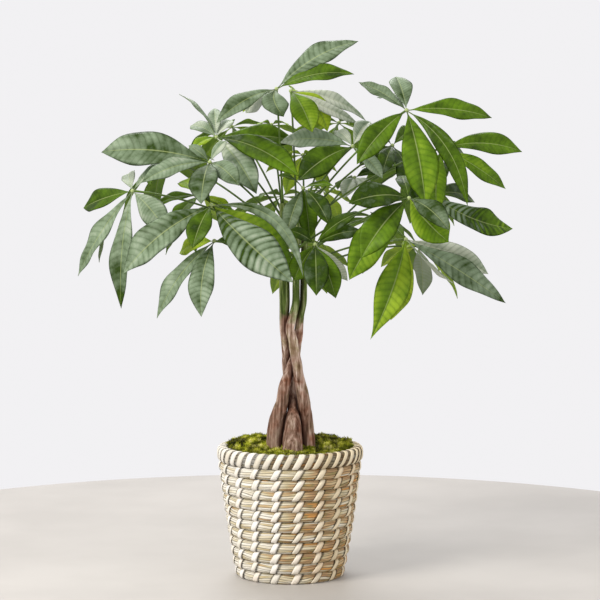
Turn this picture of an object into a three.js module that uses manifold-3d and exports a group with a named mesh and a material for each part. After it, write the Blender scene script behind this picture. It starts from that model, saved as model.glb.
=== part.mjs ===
// Potted money tree: three braided stems with palmate leaves, in a grow pot
// inside a basket coiled from seagrass and bound with pale straps.
// Millimetres, +Z up. The origin is the centre of the basket's flat underside,
// the front of the plant looks towards -Y and its right side towards +X.

import * as THREE from 'three';
import { mergeVertices } from 'three/addons/utils/BufferGeometryUtils.js';
import Module from 'manifold-3d';

const wasm = await Module();
wasm.setup();

// Clearance that neighbouring pieces keep where they touch
const GAP = 0.3;
// Vertices closer than this are one
const WELD = 1e-4;
const ROUND_SIDES = 32;

// Basket: eleven rows of one height and a taller coil as the rim
const COIL_ROWS = 12;
const BASKET_HEIGHT = 159.6;
const RIM_COIL = 17.5;
const COIL_PITCH = (BASKET_HEIGHT - RIM_COIL) / (COIL_ROWS - 1);
const COIL_GROOVE_DEPTH = 3.4;
const COIL_CREST_SHARE = 0.27;
const RIM_ROUNDING = 4.6;
const BASKET_FOOT_RADIUS = 67;
const BASKET_RIM_RADIUS = 89;
const BASKET_FLARE_POWER = 0.84;
const BASKET_WALL = 13.3;
const BASKET_FLOOR = 9;
const STRAPS_PER_ROW = 18;
const COLUMNS_PER_STRAP = 3;
const STRAP_HALF_WIDTH = 4.3;
const STRAP_RELIEF = 1.5;
const STRAP_LEAN = 2.2;
const RIM_STRAP_RELIEF = 0.9;

// Grow pot, soil and moss
const POT_CLEARANCE = 1.2;
const POT_WALL = 1.6;
const POT_FLOOR = 2;
const POT_TOP = 148;
const DRAIN_HOLE_RADIUS = 4;
const DRAIN_HOLE_CIRCLE = 30;
const DRAIN_HOLES = 4;
const DRAIN_HOLE_SIDES = 8;
const SOIL_TOP = 146;
// The moss stands on the inner half of the rim and is lumpy from its edge inwards
const MOSS_COLUMNS = 22;
const MOSS_RIM_OVERLAP = 2.2;
const MOSS_EDGE_RADIUS = 80.5;
const MOSS_EDGE_RISE = 4;
const MOSS_EDGE_ROUNDING = 2;
const MOSS_SHOULDER_RADIUS = 66;
const MOSS_SHOULDER_DROP = 2;
const MOSS_RINGS = [46, 24];
const MOSS_CROWN = 167;
const MOSS_LUMP = 1.6;
// Each set of lumps: how many there are round the moss and how they turn with the radius
const MOSS_LUMP_SETS = [{ count: 5, twist: 0.3 }, { count: 3, twist: -0.17 }];

// Stems: rows of height, centre x, centre y and diameter, from the root up.
// The left stem leans right and passes behind, the right one crosses in front
// to the middle, and the middle one goes behind both and comes out on the left.
const STEM_SIDES = 8;
const STEM_ROWS = {
  stem_left: [
    [100, -19, 4, 21], [168, -18.2, 3, 20.6], [188, -15.7, 2, 20.3], [204, -12, -1, 17.3],
    [213, -9.5, -2, 15.4], [232, -7, -3, 14], [249, -1, -1, 12.4], [259, 2.4, 1, 11.8],
    [268, 6, 4, 11.4], [284, 8.5, 5, 11], [295, 10.5, 5, 10.6], [304, 11, 4, 10.2],
    [319, 12.5, 3, 9.6], [335, 16, 2, 8.8], [353, 16.6, 1, 8.6], [400, 17.4, 1, 8],
    [456, 18.5, 2, 6.6],
  ],
  stem_middle: [
    [100, 5, -12, 26], [154, 3.7, -12, 25], [168, 3, -8, 23.3], [188, 3.7, -5.5, 18.8],
    [196, 3.5, -3.5, 16], [204, 3.4, 2, 13], [213, 2.8, 6.5, 13.4], [221, 1.8, 10, 13.4],
    [232, 0, 11, 13], [249, -3, 12, 12.2], [259, -4, 12.5, 11.6], [268, -4, 10, 11.2],
    [284, -5, 6, 11.2], [295, -6, 4, 11.4], [304, -7, 3, 11.4], [319, -7, 2, 11.8],
    [335, -6.5, 1, 12.6], [353, -6.8, 2, 12.8], [400, -7, 3, 10.4], [456, -9, 4, 8],
  ],
  stem_right: [
    [100, 22, 5, 20], [168, 21.5, 4, 18], [188, 20, 4, 17], [196, 19.2, 2.5, 16],
    [204, 17.8, -0.5, 15.4], [213, 16.9, -2.2, 15.2], [232, 13.7, -4, 14], [249, 10, -8, 12.4],
    [259, 9, -9, 12.2], [268, 7, -8.5, 12], [284, 4.5, -8, 11.6], [295, 2, -7.5, 11],
    [304, 0, -7, 10.6], [319, 3.5, -6.5, 10], [335, 7, -5, 9.2], [353, 7.4, -4.5, 8.8],
    [400, 8, -5, 8], [440, 8.5, -7, 6.4],
  ],
};

// Leaves
const BLADE_THICKNESS = 0.9;
const BLADE_ARCH = 0.1;
const BLADE_FOLD = 0.16;
const BLADE_WAVE = 0.018;
const BLADE_ROOT = 1.2;
const LONG_STATIONS = [[0.3, 0.76], [0.56, 1], [0.82, 0.62]];
const SHORT_STATIONS = [[0.36, 0.86], [0.72, 0.84]];
const SHORT_BLADE = 92;
const BLADE_SHARE = 0.34;
const PETIOLE_RADIUS = 1.4;
const PETIOLE_SIDES = 4;
const PETIOLE_STEPS = 4;
const PETIOLE_RISE = 0.12;
const HUB_RADIUS = 3.6;

// Leaves that the front shows, placed one by one. Each has the stem it grows
// from, the height of its root, its hub, the way its face looks, and for each
// leaflet the tip, then the width as a share of the length, the roll in degrees,
// the sideways bow as a share of the length and how much it narrows towards its
// tip, where they aren't the usual ones.
const FRONT_LEAVES = [
  { stem: 'stem_left', root: 444, hub: [139, -45, 568], face: [0.15, -0.8, 0.58], leaflets: [
    [242, -30, 559, 0.28, 0, 0.03], [159, -95, 456, 0.36], [209, -85, 455, 0.17, 40, -0.1], [79, -75, 504],
    [83, -10, 602, 0.27, 0, -0.04], [128, 0, 609, 0.46], [106, 15, 584, 0.24]] },
  { stem: 'stem_left', root: 430, hub: [187, 25, 523], face: [0.2, -0.75, 0.6], leaflets: [
    [286, 40, 518], [264, 20, 473, 0.3, 0, 0.06], [222, 90, 506], [178, -20, 441, 0.28, 0, 0.06],
    [215, 90, 480]] },
  { stem: 'stem_middle', root: 422, hub: [-96, -30, 506], face: [-0.2, -0.8, 0.55], leaflets: [
    [-227, -20, 518, 0.36, 0, -0.02, -0.12], [-176, -60, 482, 0.3], [-103, -105, 458, 0.4],
    [-59, -85, 479, 0.38], [-122, -20, 526, 0.4], [-76, -18, 532, 0.4]] },
  { stem: 'stem_middle', root: 406, hub: [-188, -40, 472], face: [-0.35, -0.75, 0.55], leaflets: [
    [-251, 0, 450, 0.4, 0, -0.06], [-254, -40, 370, 0.26, 12, -0.05], [-199, -80, 334, 0.22, 12],
    [-147, -62, 426, 0.5], [-146, -20, 505, 0.3], [-198, 25, 491, 0.3], [-234, 15, 383, 0.24, 50]] },
  { stem: 'stem_right', root: 388, hub: [-92, -80, 456], face: [-0.1, -0.75, 0.65], leaflets: [
    [-194, -100, 377, 0.36], [-112, -128, 408, 0.42], [4, -125, 368, 0.38, 0, 0.08],
    [16, -112, 373, 0.11, 35, -0.2], [3, -45, 370, 0.38], [-120, -30, 482, 0.32]] },
  { stem: 'stem_right', root: 364, hub: [-88, -100, 415], face: [-0.2, -0.8, 0.5], leaflets: [
    [-154, -120, 326, 0.28, 20], [-101, -150, 330, 0.32, 0, 0.04], [-131, -60, 398, 0.42], [-60, -50, 396]] },
  { stem: 'stem_middle', root: 456, hub: [-16, -20, 594], face: [0.05, -0.7, 0.7], leaflets: [
    [83, 10, 652, 0.28], [77, -30, 611, 0.3], [-87, -50, 553, 0.3], [-7, -58, 560, 0.62, 0, 0.15],
    [-53, -18, 565, 0.6], [-57, -10, 566, 0.3]] },
  { stem: 'stem_right', root: 434, hub: [1, 35, 593], face: [0.1, -0.85, 0.5], leaflets: [
    [27, -15, 542, 0.46], [46, 52, 543, 0.42, 0, -0.1], [85, 70, 553, 0.16, 10, 0.07], [95, 95, 557, 0.17],
    [10, 105, 580, 0.36]] },
  { stem: 'stem_middle', root: 436, hub: [-90, 20, 536], face: [-0.1, -0.7, 0.7], leaflets: [
    [-137, 50, 589, 0.2, 50], [-94, 65, 572, 0.32], [-72, 60, 557, 0.4], [-124, 60, 550, 0.4],
    [-118, -5, 522, 0.4], [-40, -30, 468, 0.36], [11, -32, 489, 0.32], [9, 27, 531, 0.36, 0, 0.06]] },
  { stem: 'stem_left', root: 452, hub: [76, 0, 525], face: [0.1, -0.8, 0.55], leaflets: [
    [55, 30, 544, 0.45], [99, 45, 555, 0.42], [-13, 10, 529, 0.34], [10, -35, 484, 0.44],
    [112, -12, 486, 0.36]] },
  { stem: 'stem_left', root: 404, hub: [80, 60, 486], face: [0.1, -0.7, 0.7], leaflets: [
    [66, 15, 462, 0.4], [98, 20, 468, 0.4], [112, 75, 493, 0.42], [60, 110, 470]] },
  { stem: 'stem_right', root: 400, hub: [139, -105, 465], face: [0, -0.85, 0.5], leaflets: [
    [68, -145, 460, 0.44], [82, -150, 397, 0.4], [182, -160, 430, 0.36], [132, -50, 490],
    [70, -95, 369, 0.36], [184, -128, 415, 0.6, 0, 0.1]] },
  { stem: 'stem_right', root: 376, hub: [138, -60, 415], face: [0.2, -0.75, 0.6], leaflets: [
    [95, -90, 298, 0.48, 0, -0.05, 0.75], [192, -95, 365, 0.34, 120], [257, -60, 339, 0.26, 0, 0.07],
    [240, -20, 371, 0.26, 50], [122, -20, 315, 0.3, 0, -0.03], [113, -5, 429]] },
  { stem: 'stem_left', root: 392, hub: [171, 0, 466], face: [0.25, -0.7, 0.65], leaflets: [
    [271, 0, 425, 0.4, 0, 0.21], [191, 50, 505], [230, 65, 455], [195, 45, 440]] },
  { stem: 'stem_right', root: 352, hub: [30, -80, 410], face: [0.05, -0.85, 0.5], leaflets: [
    [31, -130, 353, 0.4], [54, -105, 348, 0.4], [69, -55, 365, 0.28, 45], [85, -60, 425],
    [82, -115, 449, 0.24], [5, -62, 366, 0.5], [-1, -86, 427, 0.46]] },
  { stem: 'stem_right', root: 420, hub: [16, -25, 475], face: [0, -0.6, 0.8], leaflets: [
    [24, -40, 415, 0.38], [-4, -62, 419, 0.34], [47, -75, 432], [52, -40, 478], [-14, -58, 490]] },
  { stem: 'stem_left', root: 438, hub: [127, 60, 526], face: [0.2, -0.6, 0.75], leaflets: [
    [164, 5, 445, 0.44], [112, 5, 490], [165, 115, 545], [95, 75, 548], [85, 40, 500]] },
  { stem: 'stem_middle', root: 390, hub: [-111, 30, 464], face: [-0.2, -0.5, 0.8], leaflets: [
    [-165, 20, 452, 0.38], [-142, -15, 428, 0.36], [-139, 85, 480], [-90, 70, 430], [-70, 30, 445]] },
];

// Leaves at the back, which grow by the rule of the plant: leaflets fan out
// round the hub, longest in the middle, and hang a little below the hub.
const BACK_LEAVES = [
  { stem: 'stem_middle', root: 414, hub: [-156, 90, 510], heading: 155, size: 105 },
  { stem: 'stem_middle', root: 442, hub: [-75, 135, 550], heading: 115, size: 105 },
  { stem: 'stem_left', root: 448, hub: [62, 135, 555], heading: 70, size: 105 },
  { stem: 'stem_left', root: 382, hub: [150, 120, 500], heading: 40, size: 105 },
  { stem: 'stem_middle', root: 376, hub: [-116, 140, 444], heading: 145, size: 80 },
  { stem: 'stem_middle', root: 398, hub: [-12, 185, 460], heading: 95, size: 110 },
  { stem: 'stem_left', root: 390, hub: [110, 165, 432], heading: 60, size: 105 },
  { stem: 'stem_right', root: 430, hub: [40, 110, 470], heading: 90, size: 60 },
  { stem: 'stem_left', root: 372, hub: [160, 75, 400], heading: 35, size: 90 },
  { stem: 'stem_left', root: 410, hub: [16, 110, 514], heading: 80, size: 70 },
  { stem: 'stem_middle', root: 428, hub: [-24, 95, 552], heading: 95, size: 66 },
  { stem: 'stem_middle', root: 366, hub: [15, 110, 400], heading: 95, size: 90 },
];
const BACK_LEAFLETS = 6;
const BACK_FAN = 290;
const BACK_SHORTENING = 0.42;
const BACK_HANG = 28;
const BACK_TILT = 30;

const COLOURS = {
  basket: 0xcfc0a0,
  pot: 0x2a2b2a,
  soil: 0x3a2a1e,
  moss: 0x7f9a1e,
  stem: 0x8a6f5c,
  leaf: 0x3f7a2c,
};

// Solids and meshes

function toSolid(geometry) {
  geometry.deleteAttribute('normal');
  geometry.deleteAttribute('uv');
  const merged = mergeVertices(geometry, WELD);
  const index = merged.index.array;
  const corners = [];
  for (let i = 0; i < index.length; i += 3) {
    const [a, b, c] = [index[i], index[i + 1], index[i + 2]];
    if (a !== b && b !== c && c !== a) corners.push(a, b, c);
  }
  return new wasm.Manifold(new wasm.Mesh({
    numProp: 3,
    vertProperties: new Float32Array(merged.attributes.position.array),
    triVerts: new Uint32Array(corners),
  }));
}

function toGeometry(solid) {
  const mesh = solid.getMesh();
  const geometry = new THREE.BufferGeometry();
  geometry.setAttribute('position', new THREE.BufferAttribute(mesh.vertProperties.slice(), 3));
  geometry.setIndex(new THREE.BufferAttribute(mesh.triVerts.slice(), 1));
  geometry.computeVertexNormals();
  return geometry;
}

function fuse(solids) {
  return solids.reduce((whole, next) => whole.add(next));
}

function cut(solid, cutters) {
  return cutters.reduce((rest, cutter) => rest.subtract(cutter), solid);
}

function named(name, solid, colour, roughness) {
  const material = new THREE.MeshStandardMaterial({ color: colour, roughness, metalness: 0 });
  const mesh = new THREE.Mesh(toGeometry(solid), material);
  mesh.name = name;
  return mesh;
}

// A profile of radius and height pairs turned round the upright axis. The
// shape function may move each vertex, given its column and profile row.
function turned(profile, columns, shape) {
  const points = profile.map(([radius, height]) => new THREE.Vector2(radius, height));
  const geometry = new THREE.LatheGeometry(points, columns);
  geometry.rotateX(Math.PI / 2);
  if (shape) {
    const position = geometry.attributes.position;
    for (let i = 0; i < position.count; i += 1) {
      const column = Math.floor(i / points.length) % columns;
      const moved = shape(profile[i % points.length], column, i % points.length);
      position.setXYZ(i, moved[0], moved[1], moved[2]);
    }
  }
  return toSolid(geometry);
}

// Basket

function coilRadius(row) {
  const share = row / (COIL_ROWS - 1);
  return BASKET_FOOT_RADIUS + (BASKET_RIM_RADIUS - BASKET_FOOT_RADIUS) * share ** BASKET_FLARE_POWER;
}

const INNER_FOOT_RADIUS = BASKET_FOOT_RADIUS - BASKET_WALL;
const INNER_RIM_RADIUS = BASKET_RIM_RADIUS - BASKET_WALL;
const RIM_MIDDLE = BASKET_HEIGHT - RIM_COIL / 2;

function innerRadius(height) {
  const share = (height - BASKET_FLOOR) / (RIM_MIDDLE - BASKET_FLOOR);
  return INNER_FOOT_RADIUS + (INNER_RIM_RADIUS - INNER_FOOT_RADIUS) * share;
}

// Each row of the wall is two rings, at the low and high edge of the coil's
// crest, and a groove parts it from the row above. The straps stand out from
// both rings and lean to the right, and the rim is ribbed all round.
function makeBasket() {
  const profile = [[0, 0], [coilRadius(0) - COIL_GROOVE_DEPTH, 0]];
  const kinds = ['flat', 'flat'];
  for (let row = 0; row < COIL_ROWS; row += 1) {
    const isRim = row === COIL_ROWS - 1;
    const coil = isRim ? RIM_COIL : COIL_PITCH;
    const middle = row * COIL_PITCH + coil / 2;
    if (row > 0) {
      profile.push([(coilRadius(row - 1) + coilRadius(row)) / 2 - COIL_GROOVE_DEPTH, row * COIL_PITCH]);
      kinds.push('groove');
    }
    profile.push([coilRadius(row), middle - coil * COIL_CREST_SHARE]);
    profile.push([coilRadius(row), middle + coil * COIL_CREST_SHARE]);
    kinds.push(isRim ? 'rim' : 'low', isRim ? 'rim' : 'high');
  }
  profile.push([BASKET_RIM_RADIUS - RIM_ROUNDING, BASKET_HEIGHT]);
  profile.push([INNER_RIM_RADIUS + RIM_ROUNDING, BASKET_HEIGHT]);
  profile.push([INNER_RIM_RADIUS, RIM_MIDDLE]);
  profile.push([INNER_FOOT_RADIUS, BASKET_FLOOR]);
  profile.push([0, BASKET_FLOOR]);
  kinds.push('rim', 'flat', 'flat', 'flat', 'flat');
  const columns = STRAPS_PER_ROW * COLUMNS_PER_STRAP;
  const strapTurn = (2 * Math.PI) / STRAPS_PER_ROW;
  return turned(profile, columns, ([radius, height], column, row) => {
    const strap = Math.floor(column / COLUMNS_PER_STRAP);
    const part = column % COLUMNS_PER_STRAP;
    const onStrap = part < 2;
    const kind = kinds[row];
    const side = [-STRAP_HALF_WIDTH, STRAP_HALF_WIDTH, 0][part];
    const lean = { low: -STRAP_LEAN, high: STRAP_LEAN }[kind] ?? 0;
    let angle = (strap + (onStrap ? 0 : 0.5)) * strapTurn;
    let out = radius;
    if (radius > 0) angle += (side + lean) / radius;
    if ((kind === 'low' || kind === 'high') && onStrap) out += STRAP_RELIEF;
    if (kind === 'rim') {
      angle = (column * strapTurn) / COLUMNS_PER_STRAP;
      out += column % 2 === 0 ? RIM_STRAP_RELIEF : 0;
    }
    return [out * Math.sin(angle), -out * Math.cos(angle), height];
  });
}

// Grow pot, soil and moss

function makePot() {
  const foot = BASKET_FLOOR + GAP;
  const outer = (height) => innerRadius(height) - POT_CLEARANCE;
  const shell = turned([
    [0, foot],
    [outer(foot), foot],
    [outer(POT_TOP), POT_TOP],
    [outer(POT_TOP) - POT_WALL, POT_TOP],
    [outer(foot + POT_FLOOR) - POT_WALL, foot + POT_FLOOR],
    [0, foot + POT_FLOOR],
  ], ROUND_SIDES);
  const holes = [];
  const depth = POT_FLOOR * 4;
  for (let i = 0; i < DRAIN_HOLES; i += 1) {
    const angle = (i / DRAIN_HOLES) * 2 * Math.PI;
    const hole = new THREE.CylinderGeometry(DRAIN_HOLE_RADIUS, DRAIN_HOLE_RADIUS, depth, DRAIN_HOLE_SIDES);
    hole.rotateX(Math.PI / 2);
    hole.translate(DRAIN_HOLE_CIRCLE * Math.cos(angle), DRAIN_HOLE_CIRCLE * Math.sin(angle), foot);
    holes.push(toSolid(hole));
  }
  return cut(shell, holes);
}

function makeSoil(stemHoles) {
  const bottom = BASKET_FLOOR + GAP + POT_FLOOR + GAP;
  const radius = (height) => innerRadius(height) - POT_CLEARANCE - POT_WALL - GAP;
  const plug = turned([
    [0, bottom],
    [radius(bottom), bottom],
    [radius(SOIL_TOP), SOIL_TOP],
    [0, SOIL_TOP],
  ], ROUND_SIDES);
  return cut(plug, stemHoles);
}

function makeMoss(stemHoles) {
  const bottom = SOIL_TOP + GAP;
  const inPot = innerRadius(bottom) - POT_CLEARANCE - POT_WALL - 2 * GAP;
  const inRim = INNER_RIM_RADIUS - 3 * GAP;
  const below = [
    [0, bottom],
    [inPot, bottom],
    [inPot, POT_TOP + GAP],
    [inRim, POT_TOP + 2 * GAP],
    [inRim, RIM_MIDDLE - GAP],
    [inRim + MOSS_RIM_OVERLAP, BASKET_HEIGHT + 2 * GAP],
    [MOSS_EDGE_RADIUS, BASKET_HEIGHT + 3 * GAP],
  ];
  const above = [
    [MOSS_EDGE_RADIUS - MOSS_EDGE_ROUNDING, BASKET_HEIGHT + MOSS_EDGE_RISE],
    [MOSS_SHOULDER_RADIUS, MOSS_CROWN - MOSS_SHOULDER_DROP],
    ...MOSS_RINGS.map((radius) => [radius, MOSS_CROWN]),
    [0, MOSS_CROWN],
  ];
  const mound = turned([...below, ...above], MOSS_COLUMNS, ([radius, height], column, row) => {
    const angle = (column / MOSS_COLUMNS) * 2 * Math.PI;
    let lift = 0;
    if (row >= below.length && radius > 0) {
      for (const { count, twist } of MOSS_LUMP_SETS) {
        lift += (MOSS_LUMP / MOSS_LUMP_SETS.length) * Math.sin(angle * count + radius * twist);
      }
    }
    return [radius * Math.sin(angle), -radius * Math.cos(angle), height + lift];
  });
  return cut(mound, stemHoles);
}

// Stems

function makeStem(rows, growth) {
  const first = rows[0];
  const last = rows[rows.length - 1];
  const profile = [[0, first[0] - growth]];
  profile.push([first[3] / 2 + growth, first[0] - growth]);
  for (const [height, , , diameter] of rows.slice(1, -1)) profile.push([diameter / 2 + growth, height]);
  profile.push([last[3] / 2 + growth, last[0] + growth]);
  profile.push([0, last[0] + growth]);
  return turned(profile, STEM_SIDES, ([radius, height], column) => {
    const [x, y] = stemCentre(rows, height);
    const angle = (column / STEM_SIDES) * 2 * Math.PI;
    return [x + radius * Math.sin(angle), y - radius * Math.cos(angle), height];
  });
}

function stemCentre(rows, height) {
  const above = Math.min(Math.max(rows.findIndex((row) => row[0] > height), 1), rows.length - 1);
  const upper = height >= rows[rows.length - 1][0] ? rows.length - 1 : above;
  const [lowZ, lowX, lowY] = rows[upper - 1];
  const [highZ, highX, highY] = rows[upper];
  const share = THREE.MathUtils.clamp((height - lowZ) / (highZ - lowZ), 0, 1);
  return [lowX + (highX - lowX) * share, lowY + (highY - lowY) * share];
}

// Leaves

function vector(values) {
  return new THREE.Vector3(values[0], values[1], values[2]);
}

// One leaflet: a thin arched blade folded a little along its midrib, with
// waved edges. Upper and lower faces are split into the same triangles.
function makeBlade(hub, tip, face, share, roll, bow, taper) {
  const chord = tip.clone().sub(hub);
  const length = chord.length();
  const along = chord.clone().divideScalar(length);
  const up = face.clone().addScaledVector(along, -face.dot(along)).normalize();
  up.applyAxisAngle(along, THREE.MathUtils.degToRad(roll));
  const rise = new THREE.Vector3(0, 0, 1).addScaledVector(along, -along.z);
  const bend = up.clone().add(rise).multiplyScalar(0.5 * BLADE_ARCH * length);
  bend.addScaledVector(along.clone().cross(up), bow * length);
  const halfWidth = (share * length) / 2;
  const stations = length < SHORT_BLADE ? SHORT_STATIONS : LONG_STATIONS;
  const tapered = stations.map(([t, width]) => [t, width * (1 - taper * t)]);
  const rows = [[0, 0], ...tapered, [1, 0]];
  const root = hub.clone().addScaledVector(along, BLADE_ROOT);
  const reach = tip.clone().sub(root);
  const vertices = [];
  for (const sign of [1, -1]) {
    rows.forEach(([t, width], row) => {
      const centre = root.clone().addScaledVector(reach, t).addScaledVector(bend, 4 * t * (1 - t));
      const tangent = chord.clone().addScaledVector(bend, 4 - 8 * t).normalize();
      const side = tangent.clone().cross(up).normalize();
      const normal = side.clone().cross(tangent);
      const lift = normal.clone().multiplyScalar((sign * BLADE_THICKNESS) / 2);
      const edges = width === 0 ? [0] : [-1, 0, 1];
      for (const edge of edges) {
        const wave = edge * (row % 2 === 0 ? 1 : -1) * BLADE_WAVE * length;
        const raised = Math.abs(edge) * width * halfWidth * BLADE_FOLD + wave;
        const point = centre.clone().add(lift);
        point.addScaledVector(side, edge * width * halfWidth).addScaledVector(normal, raised);
        vertices.push(point.x, point.y, point.z);
      }
    });
  }
  const perFace = vertices.length / 6;
  const topFaces = [];
  const last = perFace - 1;
  topFaces.push([0, 2, 1], [0, 3, 2]);
  for (let row = 0; row < stations.length - 1; row += 1) {
    const [l, m, r] = [1 + row * 3, 2 + row * 3, 3 + row * 3];
    topFaces.push([l, m, l + 3], [m, m + 3, l + 3], [m, r, r + 3], [m, r + 3, m + 3]);
  }
  topFaces.push([last - 3, last - 2, last], [last - 2, last - 1, last]);
  const rim = [0];
  for (let row = 0; row < stations.length; row += 1) rim.push(3 + row * 3);
  rim.push(last);
  for (let row = stations.length - 1; row >= 0; row -= 1) rim.push(1 + row * 3);
  const corners = [];
  for (const [a, b, c] of topFaces) {
    corners.push(a, b, c);
    corners.push(perFace + a, perFace + c, perFace + b);
  }
  rim.forEach((a, i) => {
    const b = rim[(i + 1) % rim.length];
    corners.push(a, perFace + a, b);
    corners.push(b, perFace + a, perFace + b);
  });
  const geometry = new THREE.BufferGeometry();
  geometry.setAttribute('position', new THREE.Float32BufferAttribute(vertices, 3));
  geometry.setIndex(corners);
  return toSolid(geometry);
}

function makePetiole(start, hub) {
  const middle = start.clone().add(hub).multiplyScalar(0.5);
  middle.z += PETIOLE_RISE * start.distanceTo(hub);
  const path = new THREE.QuadraticBezierCurve3(start, middle, hub);
  const section = new THREE.Shape();
  for (let i = 0; i < PETIOLE_SIDES; i += 1) {
    const angle = (i / PETIOLE_SIDES) * 2 * Math.PI;
    const corner = [PETIOLE_RADIUS * Math.cos(angle), PETIOLE_RADIUS * Math.sin(angle)];
    if (i === 0) section.moveTo(...corner);
    else section.lineTo(...corner);
  }
  return toSolid(new THREE.ExtrudeGeometry(section, { steps: PETIOLE_STEPS, extrudePath: path }));
}

function backLeaflets({ hub, heading, size }) {
  const turn = THREE.MathUtils.degToRad(heading);
  const tilt = THREE.MathUtils.degToRad(BACK_TILT);
  const hang = THREE.MathUtils.degToRad(BACK_HANG);
  const outward = new THREE.Vector3(Math.cos(turn), Math.sin(turn), 0);
  const face = outward.clone().multiplyScalar(Math.sin(tilt));
  face.z = Math.cos(tilt);
  const ahead = outward.clone().multiplyScalar(Math.cos(tilt));
  ahead.z = -Math.sin(tilt);
  const across = face.clone().cross(ahead);
  const leaflets = [];
  for (let i = 0; i < BACK_LEAFLETS; i += 1) {
    const spread = (i / (BACK_LEAFLETS - 1) - 0.5) * THREE.MathUtils.degToRad(BACK_FAN);
    const length = size * (1 - (BACK_SHORTENING * Math.abs(spread)) / (Math.PI * 0.8));
    const reach = ahead.clone().multiplyScalar(Math.cos(spread)).addScaledVector(across, Math.sin(spread));
    reach.multiplyScalar(Math.cos(hang)).addScaledVector(face, -Math.sin(hang));
    const tip = vector(hub).addScaledVector(reach, length);
    leaflets.push([tip.x, tip.y, tip.z]);
  }
  return { face: face.toArray(), leaflets };
}

function makeLeaf(leaf, grownStems) {
  const [x, y] = stemCentre(STEM_ROWS[leaf.stem], leaf.root);
  const hub = vector(leaf.hub);
  const { face, leaflets } = leaf.leaflets ? leaf : backLeaflets(leaf);
  const knob = new THREE.OctahedronGeometry(HUB_RADIUS);
  knob.translate(hub.x, hub.y, hub.z);
  const pieces = [toSolid(knob), makePetiole(new THREE.Vector3(x, y, leaf.root), hub)];
  for (const [tipX, tipY, tipZ, share = BLADE_SHARE, roll = 0, bow = 0, taper = 0] of leaflets) {
    const tip = new THREE.Vector3(tipX, tipY, tipZ);
    pieces.push(makeBlade(hub, tip, vector(face).normalize(), share, roll, bow, taper));
  }
  return cut(fuse(pieces), grownStems);
}

// The whole plant

const plant = new THREE.Group();
const stems = Object.values(STEM_ROWS).map((rows) => makeStem(rows, 0));
const grownStems = Object.values(STEM_ROWS).map((rows) => makeStem(rows, GAP));

plant.add(named('basket', makeBasket(), COLOURS.basket, 0.85));
plant.add(named('nursery_pot', makePot(), COLOURS.pot, 0.5));
plant.add(named('soil', makeSoil(grownStems), COLOURS.soil, 0.95));
plant.add(named('moss', makeMoss(grownStems), COLOURS.moss, 0.95));
Object.keys(STEM_ROWS).forEach((name, i) => {
  plant.add(named(name, stems[i], COLOURS.stem, 0.8));
});
[...FRONT_LEAVES, ...BACK_LEAVES].forEach((leaf, i) => {
  const name = `leaf_${String(i + 1).padStart(2, '0')}`;
  plant.add(named(name, makeLeaf(leaf, grownStems), COLOURS.leaf, 0.5));
});

export default plant;
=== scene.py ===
# %% [markdown]
# # A potted money tree, dressed
#
# A solid model already holds this plant at its true size: three braided stems,
# thirty compound leaves, a cushion of moss, a grow pot and a basket. Each of
# those solids is plain and faceted. This lesson keeps their places and gives
# every one of them its living surface: blades with veins and waved edges,
# ridged bark, strands of seagrass and the pale straps that bind them.
#
# Everything is written in millimetres, because that is how a plant is measured,
# and turned to metres once, when a piece is finished.

# %% Load the solids
import math
import random

import bmesh
import bpy
from mathutils import Matrix, Quaternion, Vector, noise


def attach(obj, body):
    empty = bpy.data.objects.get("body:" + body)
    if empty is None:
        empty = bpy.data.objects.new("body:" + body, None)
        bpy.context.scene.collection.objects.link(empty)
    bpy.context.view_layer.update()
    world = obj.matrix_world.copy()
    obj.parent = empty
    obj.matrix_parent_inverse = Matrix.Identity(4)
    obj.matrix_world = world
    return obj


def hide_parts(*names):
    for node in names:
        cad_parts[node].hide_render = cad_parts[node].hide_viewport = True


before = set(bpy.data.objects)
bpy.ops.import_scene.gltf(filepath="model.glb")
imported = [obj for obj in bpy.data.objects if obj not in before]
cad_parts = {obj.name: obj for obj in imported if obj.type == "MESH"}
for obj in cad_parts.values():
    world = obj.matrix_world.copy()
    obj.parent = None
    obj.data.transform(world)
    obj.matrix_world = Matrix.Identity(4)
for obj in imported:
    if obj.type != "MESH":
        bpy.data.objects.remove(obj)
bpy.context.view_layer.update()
MM = 0.001

# %% [markdown]
# ## The camera
#
# The plant was photographed with a long lens from a little above its middle,
# which keeps the basket's sides nearly straight. The place and the focal length
# were worked out from the basket's rim, its foot and the plant's height. The
# focal length is given in pixels of the square picture, which a lens in
# millimetres on a 36 mm sensor follows from.

# %% Camera
FRAME_PIXELS = 600
FOCAL_PIXELS = 2055
CAMERA_PLACE = Vector((12.2, -2500.0, 530.0))
CAMERA_PITCH = -4.39

lens = bpy.data.cameras.new("long_lens")
lens.sensor_width = 36.0
lens.lens = lens.sensor_width * FOCAL_PIXELS / FRAME_PIXELS
lens.clip_end = 60.0
camera = bpy.data.objects.new("camera", lens)
camera.location = CAMERA_PLACE * MM
camera.rotation_euler = (math.radians(90.0 + CAMERA_PITCH), 0.0, 0.0)
bpy.context.scene.collection.objects.link(camera)
bpy.context.scene.camera = camera
print("lens in mm", round(lens.lens, 1))

# %% [markdown]
# ## Helpers for colour and materials
#
# Designers write colours as sRGB hex values, and shaders want linear light, so
# one function turns the first into the second. A second function adds a node:
# it sets the node's own properties, gives its ramp stops if it has any, and
# fills each input with a value, with one output of another node, or with that
# node's first output where the node itself is given. A mix node names several
# of its sockets alike, so for colours they are known by their numbers.

# %% Colour and nodes
MIX_A = 6
MIX_B = 7
BLEND = {"data_type": "RGBA"}
MULTIPLY = {"data_type": "RGBA", "blend_type": "MULTIPLY"}


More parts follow.
